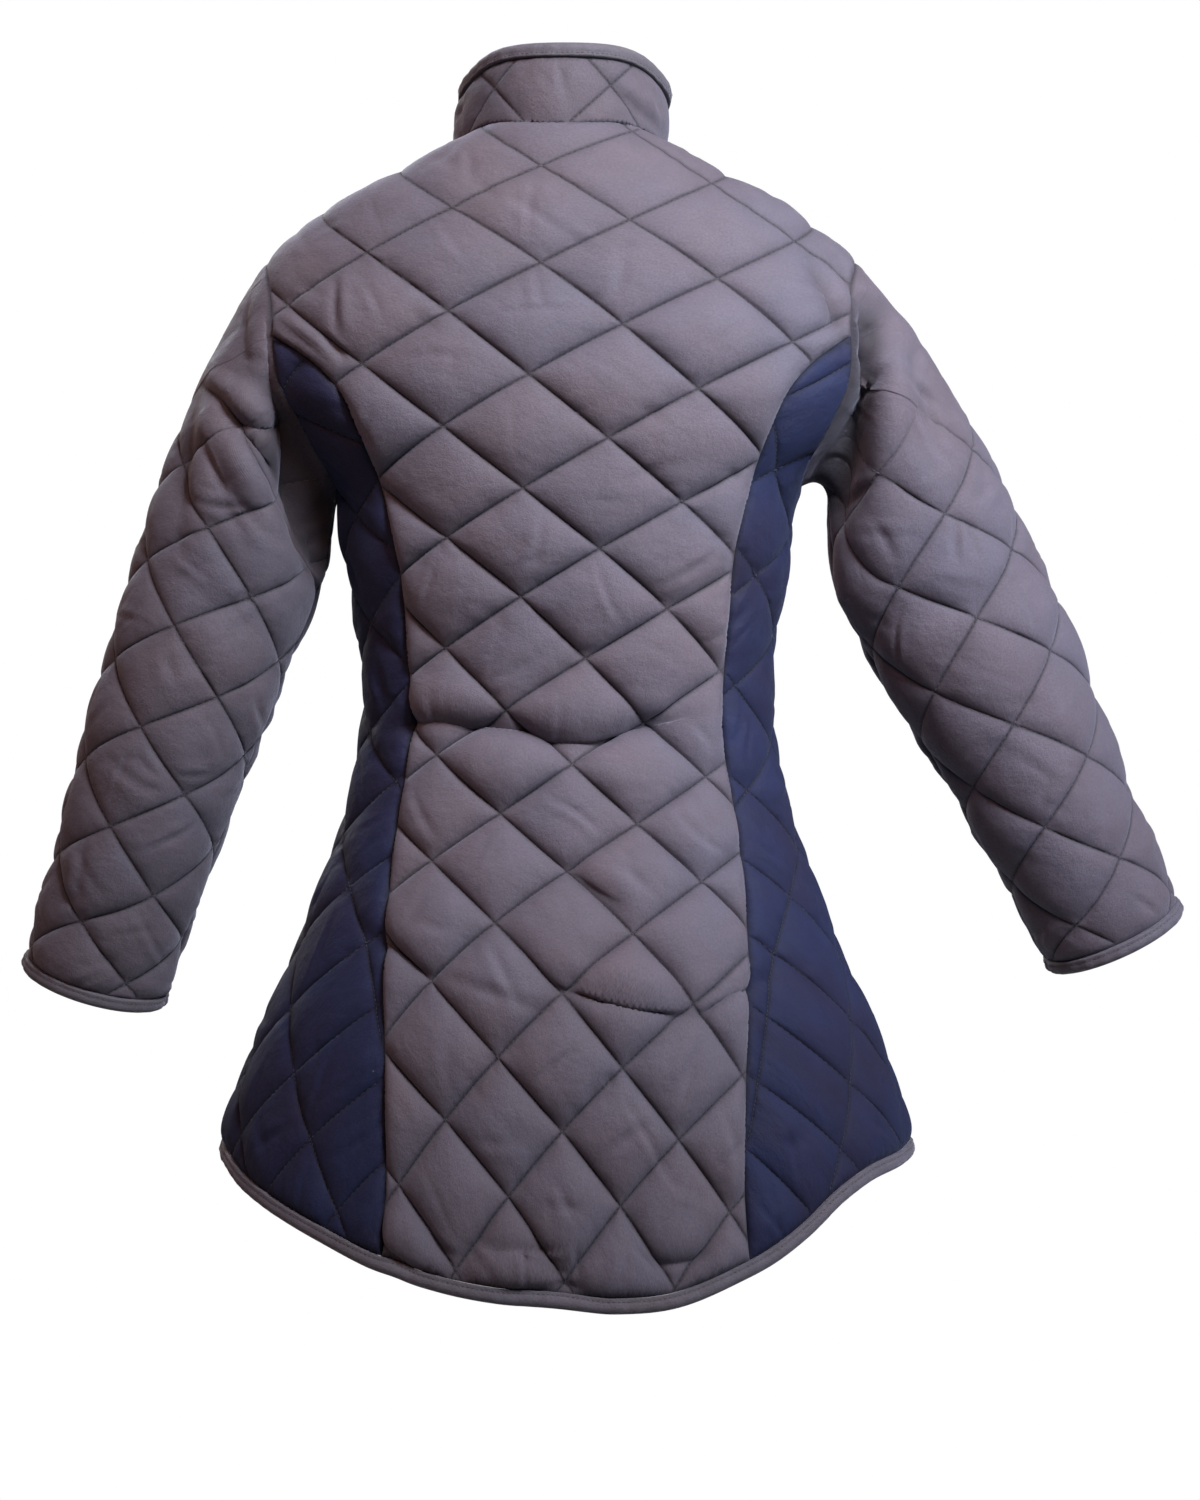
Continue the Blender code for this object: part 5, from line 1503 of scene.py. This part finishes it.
def quilted_panel(name, chart, outline, material, thread, seed, puckers, fullness):
    """Padded wall over a panel's outline with its fine quilting, and the stitches that hold it."""
    loop = chart.flat(*outline) * np.array(chart.cell)
    base, normals = chart.surface(*outline)
    keys = [rim_key(point) for point in base]
    shared = [RIMS.get(key, (normal, SEAM_THICKNESS)) for key, normal in zip(keys, normals)]
    rims = np.array([direction for direction, _ in shared])
    levels = np.array([thickness for _, thickness in shared])
    shift = inward_shift(base, normals)
    middle = base.mean(axis=0)
    if np.sum(shift * (middle - base)) < 0:
        shift = -shift
    base = base + shift * SEAM_GAP / 2
    quilt, reach, edges = quilt_lattice(loop, chart.cell)
    ring, ring_reach = rim_ring(loop)
    inner_loop = np.concatenate([quilt, ring])
    cloth = Cloth(chart, loop, levels, seed, puckers, fullness)
    reach = [np.concatenate(pair) for pair in zip(reach, ring_reach)]
    top, _, lift, painted_shade = cloth.outer(inner_loop, reach)
    lining = lining_points(loop)
    inner, _ = chart.surface(*chart.place(lining / np.array(chart.cell)))
    outer_faces = triangles_inside(loop, inner_loop, edges)
    inner_faces = triangles_inside(loop, lining, [])
    count = len(loop)
    points = np.concatenate([base + rims * levels[:, None], top, base, inner])
    start = count + len(inner_loop)
    sample = outer_faces[len(outer_faces) // 2]
    corners = [points[k] for k in sample]
    form = normals_near(chart, loop, inner_loop, sample)
    outward = float(np.cross(corners[1] - corners[0], corners[2] - corners[0]) @ form) > 0
    faces = [face if outward else face[::-1] for face in outer_faces]
    for face in inner_faces:
        turned = face[::-1] if outward else face
        faces.append(tuple(start + k for k in turned))
    forward = outward == (winding_of(loop) > 0)
    for place in range(count):
        after = (place + 1) % count
        wall = [(place, start + place, start + after), (place, start + after, after)]
        faces.extend(wall if forward else [face[::-1] for face in wall])
    flat = np.zeros((len(points), 3))
    flat[:, :2] = np.concatenate([loop, inner_loop, loop, lining])
    lifts = np.concatenate([np.zeros(count), lift, np.zeros(count), np.full(len(lining), 0.5)])
    # Painted shade is full on the walls at the outline and none on the lining.
    painted_shades = np.concatenate([np.ones(count), painted_shade, np.ones(count), np.zeros(len(lining))])
    made = mesh_object(name, points, faces, material, {"flat": flat, "lift": lifts, "painted_shade": painted_shades})
    sharpen_rim(made, count)
    size = loop.max(axis=0) - loop.min(axis=0)
    parts = []
    stitched_dashes(cloth, parts)
    sewing = thread_object("stitches_" + name, parts, thread)
    CUTS[name] = (made, (float(size[0]), float(size[1])), abs(signed_area(loop)), sewing)
    return made


def normals_near(chart, loop, inner, face):
    """Normal of the form at a face's first corner."""
    spot = np.concatenate([loop, inner])[face[0]][None] / np.array(chart.cell)
    return chart.surface(*chart.place(spot))[1][0]


def sharpen_rim(made, count):
    """The outer face ends in a crisp edge at the seam."""
    mesh = made.data
    ends = np.empty(len(mesh.edges) * 2, dtype=int)
    mesh.edges.foreach_get("vertices", ends)
    ends = ends.reshape(-1, 2)
    step = np.abs(ends[:, 0] - ends[:, 1])
    rim = (ends.max(axis=1) < count) & ((step == 1) | (step == count - 1))
    mesh.attributes.new("sharp_edge", "BOOLEAN", "EDGE").data.foreach_set("value", rim)


CUTS = {}


def tape(name, points, outward, normals, closed, material, thread, seed):
    """Folded binding tape along an edge, with its own row of stitches."""
    count = len(points)
    ring = len(TAPE_PROFILE)
    profile = np.array(TAPE_PROFILE)
    steps = np.linalg.norm(np.diff(points, axis=0), axis=1)
    along = np.concatenate([[0.0], np.cumsum(steps)])
    around = np.concatenate([[0.0], np.cumsum(np.linalg.norm(np.diff(profile, axis=0), axis=1))])
    total = along[-1] + (np.linalg.norm(points[0] - points[-1]) if closed else 0.0)
    turns = np.round(total / 0.012) / total
    swell = 1 + 0.10 * noise(along * turns, 0 * along + 0.3, seed)
    swell += 0.05 * np.sin(2 * np.pi * along * turns)
    verts, flat, lift = [], [], []
    for place in range(count):
        for corner, (reach, height) in enumerate(profile):
            high = height * (swell[place] if height > 0.003 else 1.0)
            verts.append(points[place] + outward[place] * (reach + SEAM_GAP / 2) + normals[place] * high)
            flat.append((along[place], around[corner], 0.0))
            # Tape tone by lift: lighter towards its outer fold, which is wear, and darker where it meets the
            # panel, which is painted shade.
            lift.append(min(max(reach / 0.006, 0.0), 1.0) * 0.6 + 0.2)
    verts = np.array(verts)
    faces = []
    for place in range(count if closed else count - 1):
        after = (place + 1) % count
        for corner in range(ring):
            beyond = (corner + 1) % ring
            faces.append((place * ring + corner, after * ring + corner,
                          after * ring + beyond, place * ring + beyond))
    if not closed:
        faces.append(tuple(range(ring)))
        faces.append(tuple((count - 1) * ring + k for k in reversed(range(ring))))
    direction = points[1] - points[0]
    if float(np.cross(outward[0], normals[0]) @ direction) < 0:
        faces = [face[::-1] for face in faces]
    made = mesh_object(name, verts, faces, material, {"flat": np.array(flat), "lift": np.array(lift)})
    made.data.set_sharp_from_angle(angle=math.radians(75))
    stops = np.arange(STITCH_PITCH, total - STITCH_PITCH, STITCH_PITCH * 0.8)
    track = points + outward * 0.0026 + normals * 0.0051 * swell[:, None]
    first = np.stack([np.interp(stops, along, track[:, k]) for k in range(3)], axis=1)
    second = np.stack([np.interp(stops + STITCH_LENGTH * 0.75, along, track[:, k]) for k in range(3)], axis=1)
    up = unit(np.stack([np.interp(stops, along, normals[:, k]) for k in range(3)], axis=1))
    sewing = thread_object("stitches_" + name, [(first, second, up)], thread)
    TAPES[name] = (made, sewing)
    return made


TAPES = {}


def hem_tape(material, thread):
    edge = front_edge_run()
    back_left = princess(True)
    front_left = princess(False)
    right_back = back_hem_right(back_left)
    stops = [edge[0][-1], front_left[0][-1], back_left[0][-1], right_back[0][-1],
             mirrored(front_left[0][-1]), mirrored(edge[0][-1])]
    angles = [hem_run(a, b)[0][:-1] for a, b in zip(stops, stops[1:])]
    angles = np.concatenate(angles + [[stops[-1]]])
    levels = hem_z(angles)
    points = body_point(angles, levels)
    normals = body_normal(angles, levels)
    away = facing(edge_frame(points, normals, False), np.array([0.0, 0.0, -1.0]))
    square_ends(away, normals)
    tape("binding_hem", trim_ends(points, SEAM_GAP / 2), away, normals, False, material, thread, 3)


def collar_tape(material, thread):
    angles = collar_runs()[1]
    points = collar_point(angles, 0 * angles + 1.0)
    normals = collar_normal(angles, 0 * angles + 1.0)
    away = facing(edge_frame(points, normals, False), np.array([0.0, 0.0, 1.0]))
    square_ends(away, normals)
    tape("binding_collar", trim_ends(points, SEAM_GAP / 2), away, normals, False, material, thread, 5)


def cuff_tape(sleeve, material, thread):
    angles = np.linspace(-HALF_TURN, HALF_TURN, ARMHOLE_STEPS + 1)[:-1]
    down = np.full(len(angles), sleeve.cuff())
    points = sleeve.point(angles, down)
    normals = sleeve.normal(angles, down)
    away = facing(edge_frame(points, normals, True), sleeve.direction(sleeve.cuff()) * [sleeve.sign, 1, 1])
    tape("binding_cuff_" + sleeve.side, points, away, normals, True, material, thread, 7)


def front_tape(side, material, thread):
    """One tape runs up a front's edge and on over the end of the collar."""
    angles, levels = front_edge_run()
    end = collar_end_run()
    if side == "right":
        angles = mirrored(angles)
        end = other_side(end)
    body = body_point(angles, levels)[::-1]
    body_normals = body_normal(angles, levels)[::-1]
    collar = collar_point(*end)
    collar_normals = collar_normal(*end)
    meeting = unit(body_normals[-1] + collar_normals[0])
    points = np.concatenate([body[:1] + unit(body[:1] - body[1:2]) * TAPE_WIDTH, body,
                             collar[1:], collar[-1:] + unit(collar[-1:] - collar[-2:-1]) * TAPE_WIDTH])
    normals = np.concatenate([body_normals[:1], body_normals[:-1], [meeting],
                              collar_normals[1:], collar_normals[-1:]])
    normals[:, 0] = 0.0
    normals = unit(normals)
    away = np.tile([-1.0, 0.0, 0.0], (len(points), 1))
    reach = TAPE_WIDTH + SEAM_GAP
    if side == "right":
        reach = -reach
        away = -away
    collar_step = collar_stance(*end)[:, 0]
    body_step = stance(levels)[::-1, 0]
    points[:, 0] = reach + np.concatenate([body_step[:1], body_step, collar_step[1:], collar_step[-1:]])
    tape("binding_front_" + side, points, away, normals, False, material, thread, 11)


class Nodes:
    """Short names for making a material's nodes."""

    def __init__(self, name):
        self.material = bpy.data.materials.new(name)
        self.material.use_nodes = True
        self.tree = self.material.node_tree
        self.shader = self.tree.nodes["Principled BSDF"]

    def add(self, kind, inputs=None, **settings):
        node = self.tree.nodes.new(kind)
        for label, value in settings.items():
            setattr(node, label, value)
        for label, value in (inputs or {}).items():
            if isinstance(value, bpy.types.NodeSocket):
                self.tree.links.new(value, node.inputs[label])
            else:
                node.inputs[label].default_value = value
        return node

    def math(self, operation, first, second=0.0, third=0.0):
        return self.add("ShaderNodeMath", {0: first, 1: second, 2: third}, operation=operation).outputs[0]

    def noise(self, vector, scale, detail, rough=0.55):
        inputs = {"Vector": vector, "Scale": scale, "Detail": detail, "Roughness": rough}
        return self.add("ShaderNodeTexNoise", inputs).outputs["Fac"]

    def between(self, value, low, high):
        inputs = {"Value": value, "From Min": low, "From Max": high}
        return self.add("ShaderNodeMapRange", inputs).outputs[0]

    def mix(self, factor, first, second, blend="MIX"):
        inputs = {0: factor, 6: first, 7: second}
        return self.add("ShaderNodeMix", inputs, data_type="RGBA", blend_type=blend).outputs[2]


def woven(name, warm, cool, pitch, sheen, sheen_tint, lint):
    """Napped woven cotton on its flat pattern: weave, mottling, crowns lighter from wear, painted shade in
    the stitched lines, seams, creases and deep folds, painted highlight on crease rolls, and lint.
    """
    nodes = Nodes(name)
    flat = nodes.add("ShaderNodeAttribute", attribute_name="flat").outputs["Vector"]
    lift = nodes.add("ShaderNodeAttribute", attribute_name="lift").outputs["Fac"]
    clouds = nodes.between(nodes.noise(flat, 9.0, 3.0), 0.32, 0.68)
    colour = nodes.mix(clouds, (*warm, 1.0), (*cool, 1.0))
    patches = nodes.between(nodes.noise(flat, 48.0, 4.0, 0.6), 0.30, 0.70)
    tone = nodes.math("MULTIPLY_ADD", patches, 0.16, 0.92)
    specks = nodes.between(nodes.noise(flat, 620.0, 3.0, 0.7), 0.34, 0.66)
    tone = nodes.math("MULTIPLY", tone, nodes.math("MULTIPLY_ADD", specks, 0.26, 0.87))
    # Lift tones the cloth: lighter crowns are wear; darker stitched lines, seams and crease troughs are
    # painted shade, and lighter crease rolls are painted highlight.
    crown_wear_and_painted_shade = nodes.between(lift, 0.15, 1.0)
    tone = nodes.math("MULTIPLY", tone, nodes.math("MULTIPLY_ADD", crown_wear_and_painted_shade, 0.16, 0.88))
    # Painted shade read from the mesh: stitched lines, seams and deep folds are drawn darker.
    painted_shade = nodes.add("ShaderNodeAttribute", attribute_name="painted_shade").outputs["Fac"]
    tone = nodes.math("MULTIPLY", tone, nodes.math("MULTIPLY_ADD", painted_shade, -PAINTED_SHADE_STRENGTH, 1.0))
    grey = nodes.add("ShaderNodeCombineColor", {0: tone, 1: tone, 2: tone}).outputs[0]
    colour = nodes.mix(1.0, colour, grey, "MULTIPLY")
    cells = nodes.add("ShaderNodeTexVoronoi", {"Vector": flat, "Scale": 34.0, "Randomness": 1.0})
    near = nodes.between(cells.outputs["Distance"], 0.030, 0.016)
    chance = nodes.add("ShaderNodeSeparateColor", {0: cells.outputs["Color"]}).outputs[0]
    rare = nodes.math("GREATER_THAN", chance, 1.0 - lint)
    fluff = nodes.math("MULTIPLY", nodes.math("MULTIPLY", near, rare), 0.8)
    colour = nodes.mix(fluff, colour, (*LINT_COLOUR, 1.0))
    axes = nodes.add("ShaderNodeSeparateXYZ", {0: flat})
    waves = 2 * math.pi / pitch
    warp = nodes.math("SINE", nodes.math("MULTIPLY", axes.outputs[0], waves))
    weft = nodes.math("SINE", nodes.math("MULTIPLY", axes.outputs[1], waves))
    weave = nodes.math("MULTIPLY", warp, weft)
    nap = nodes.noise(flat, 900.0, 2.0, 0.6)
    height = nodes.math("MULTIPLY_ADD", weave, 0.22, nap)
    crumple = nodes.noise(flat, 70.0, 4.0, 0.6)
    rough = nodes.math("MULTIPLY_ADD", patches, 0.12, 0.64)
    fine = nodes.add("ShaderNodeBump", {"Strength": 0.55, "Distance": 0.0005, "Height": height})
    soft = nodes.add("ShaderNodeBump", {"Strength": 0.60, "Distance": 0.0022, "Height": crumple,
                                        "Normal": fine.outputs[0]})
    shader = nodes.shader
    nodes.tree.links.new(colour, shader.inputs["Base Color"])
    nodes.tree.links.new(rough, shader.inputs["Roughness"])
    nodes.tree.links.new(soft.outputs[0], shader.inputs["Normal"])
    shader.inputs["Specular IOR Level"].default_value = 0.32
    shader.inputs["Sheen Weight"].default_value = sheen
    shader.inputs["Sheen Roughness"].default_value = 0.45
    shader.inputs["Sheen Tint"].default_value = (*sheen_tint, 1.0)
    return nodes.material


def thread_material(name, colour):
    nodes = Nodes(name)
    flat = nodes.add("ShaderNodeAttribute", attribute_name="flat").outputs["Vector"]
    tone = nodes.between(nodes.noise(flat, 60.0, 2.0), 0.2, 0.8)
    dark = tuple(0.7 * part for part in colour)
    mixed = nodes.mix(tone, (*dark, 1.0), (*colour, 1.0))
    nodes.tree.links.new(mixed, nodes.shader.inputs["Base Color"])
    nodes.shader.inputs["Roughness"].default_value = 0.7
    nodes.shader.inputs["Sheen Weight"].default_value = 0.2
    return nodes.material


def plain(name, colour, roughness):
    nodes = Nodes(name)
    nodes.shader.inputs["Base Color"].default_value = (*colour, 1.0)
    nodes.shader.inputs["Roughness"].default_value = roughness
    return nodes.material


def pane_light(name, place, target, size, spread, power, colour):
    light = bpy.data.lights.new(name, "AREA")
    light.shape = "SQUARE"
    light.size = size
    light.spread = math.radians(spread)
    light.energy = power
    light.color = colour
    made = bpy.data.objects.new(name, light)
    made.location = place
    made.rotation_euler = (Vector(target) - Vector(place)).to_track_quat("-Z", "Y").to_euler()
    bpy.context.scene.collection.objects.link(made)
    return made


def studio():
    scene = bpy.context.scene
    scene.view_settings.view_transform = "Standard"
    camera = bpy.data.cameras.new("camera")
    camera.sensor_fit = "VERTICAL"
    camera.sensor_height = 36.0
    camera.lens = CAMERA_LENS
    holder = bpy.data.objects.new("camera", camera)
    holder.location = CAMERA_PLACE
    holder.rotation_euler = (math.radians(90), 0.0, math.radians(180))
    scene.collection.objects.link(holder)
    scene.camera = holder
    world = bpy.data.worlds.new("studio")
    world.use_nodes = True
    tree = world.node_tree
    sky = tree.nodes["Background"]
    sky.inputs["Color"].default_value = (*AMBIENT_COLOUR, 1.0)
    sky.inputs["Strength"].default_value = AMBIENT
    backdrop = tree.nodes.new("ShaderNodeBackground")
    backdrop.inputs["Color"].default_value = (1.0, 1.0, 1.0, 1.0)
    seen = tree.nodes.new("ShaderNodeLightPath")
    choose = tree.nodes.new("ShaderNodeMixShader")
    tree.links.new(seen.outputs["Is Camera Ray"], choose.inputs[0])
    tree.links.new(sky.outputs[0], choose.inputs[1])
    tree.links.new(backdrop.outputs[0], choose.inputs[2])
    tree.links.new(choose.outputs[0], tree.nodes["World Output"].inputs["Surface"])
    scene.world = world
    for row in LIGHTS:
        pane_light(*row)
    mesh = bpy.data.meshes.new("floor")
    turn = np.linspace(0, 2 * np.pi, 97)[:-1]
    ring = [(FLOOR_REACH * math.cos(a), FLOOR_REACH * math.sin(a), FLOOR_Z) for a in turn]
    mesh.from_pydata(ring, [], [tuple(range(len(ring)))])
    mesh.materials.append(plain("floor", FLOOR_COLOUR, 0.9))
    floor = bpy.data.objects.new("floor", mesh)
    scene.collection.objects.link(floor)


CAMERA_PLACE = (-0.02376, 2.3, -0.4464)
CAMERA_LENS = 76.7
FLOOR_Z = -1.55
FLOOR_REACH = 2.2
FLOOR_COLOUR = (0.86, 0.86, 0.85)
AMBIENT = 0.040
AMBIENT_COLOUR = (0.93, 0.94, 1.0)
LIGHTS = (
    # name, place, target, size, spread, power, colour
    ("top", (-0.8, 1.3, 1.0), (-0.1, 0.0, -0.10), 0.7, 52.0, 6.6, (0.84, 0.91, 0.96)),
    ("side", (-2.0, 0.6, 0.1), (-0.3, 0.0, -0.4), 0.8, 180.0, 8.8, (0.82, 0.91, 1.0)),
    ("arm", (-1.2, 1.6, 0.6), (-0.38, 0.0, -0.42), 0.5, 34.0, 1.2, (0.78, 0.80, 1.0)),
    ("warm", (0.3, 1.6, 1.2), (0.0, 0.0, -0.2), 0.7, 50.0, 1.1, (1.0, 0.55, 0.40)),
    ("left", (2.2, 0.5, 0.1), (0.35, 0.0, -0.5), 0.7, 60.0, 0.5, (1.0, 0.40, 0.28)),
    ("front", (1.2, -2.4, 0.9), (0.0, 0.0, -0.40), 1.4, 180.0, 32.0, (1.0, 0.98, 0.96)),
)


LINT_COLOUR = (0.55, 0.53, 0.56)
# Cloths by slot: warm and cool colour, pitch of the weave, sheen, its tint, and share of lint.
CLOTHS = {
    "grey_cloth": ((0.126, 0.100, 0.122), (0.117, 0.105, 0.141), 0.0009, 0.30, (0.80, 0.80, 1.0), 0.05),
    "navy_cloth": ((0.015, 0.012, 0.040), (0.014, 0.022, 0.076), 0.0009, 0.08, (0.55, 0.65, 1.0), 0.02),
    "binding_tape": ((0.130, 0.112, 0.130), (0.128, 0.118, 0.148), 0.0010, 0.30, (0.85, 0.83, 1.0), 0.01),
}


def dress():
    grey, navy, band = [woven(name, *values) for name, values in CLOTHS.items()]
    grey_thread = thread_material("grey_thread", (0.085, 0.072, 0.095))
    navy_thread = thread_material("navy_thread", (0.018, 0.020, 0.052))
    sleeves = [Sleeve("left"), Sleeve("right")]
    share_mitres(sleeves)
    outlines = {
        "back": back_outline(),
        "side_left": side_outline("left"),
        "side_right": side_outline("right"),
        "front_left": front_outline("left"),
        "front_right": front_outline("right"),
    }
    for name, middle, slope, shift, stretch, row_phase, seed in BODY_CHARTS:
        cloth, thread = (navy, navy_thread) if name.startswith("side") else (grey, grey_thread)
        chart = BodyChart(middle, slope, shift, stretch, row_phase)
        fullness = SIDE_FULLNESS if name.startswith("side") else BODY_FULLNESS
        quilted_panel(name, chart, outlines[name], cloth, thread, seed, BODY_PUCKERS, fullness)
    quilted_panel("collar", CollarChart(), collar_outline(), grey, grey_thread, 6, BODY_PUCKERS, 1.0)
    for sleeve in sleeves:
        width, height, turn, across, down, seed = SLEEVE_LATTICES[sleeve.side]
        chart = SleeveChart(sleeve, width, height, turn * sleeve.sign, (across, down))
        quilted_panel("sleeve_" + sleeve.side, chart, sleeve_outline(sleeve), grey, grey_thread, seed,
                      SLEEVE_PUCKERS, SLEEVE_FULLNESS)
        cuff_tape(sleeve, band, grey_thread)
    hem_tape(band, grey_thread)
    collar_tape(band, grey_thread)
    front_tape("left", band, grey_thread)
    front_tape("right", band, grey_thread)
    for node, (made, size, area, sewing) in CUTS.items():
        made.name = node + "_cloth"
        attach(made, "root")
        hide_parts(node)
        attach(sewing, "root")
    for name, (made, sewing) in TAPES.items():
        made.name = name + "_cloth"
        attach(made, "root")
        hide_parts(name)
        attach(sewing, "root")


dress()
studio()
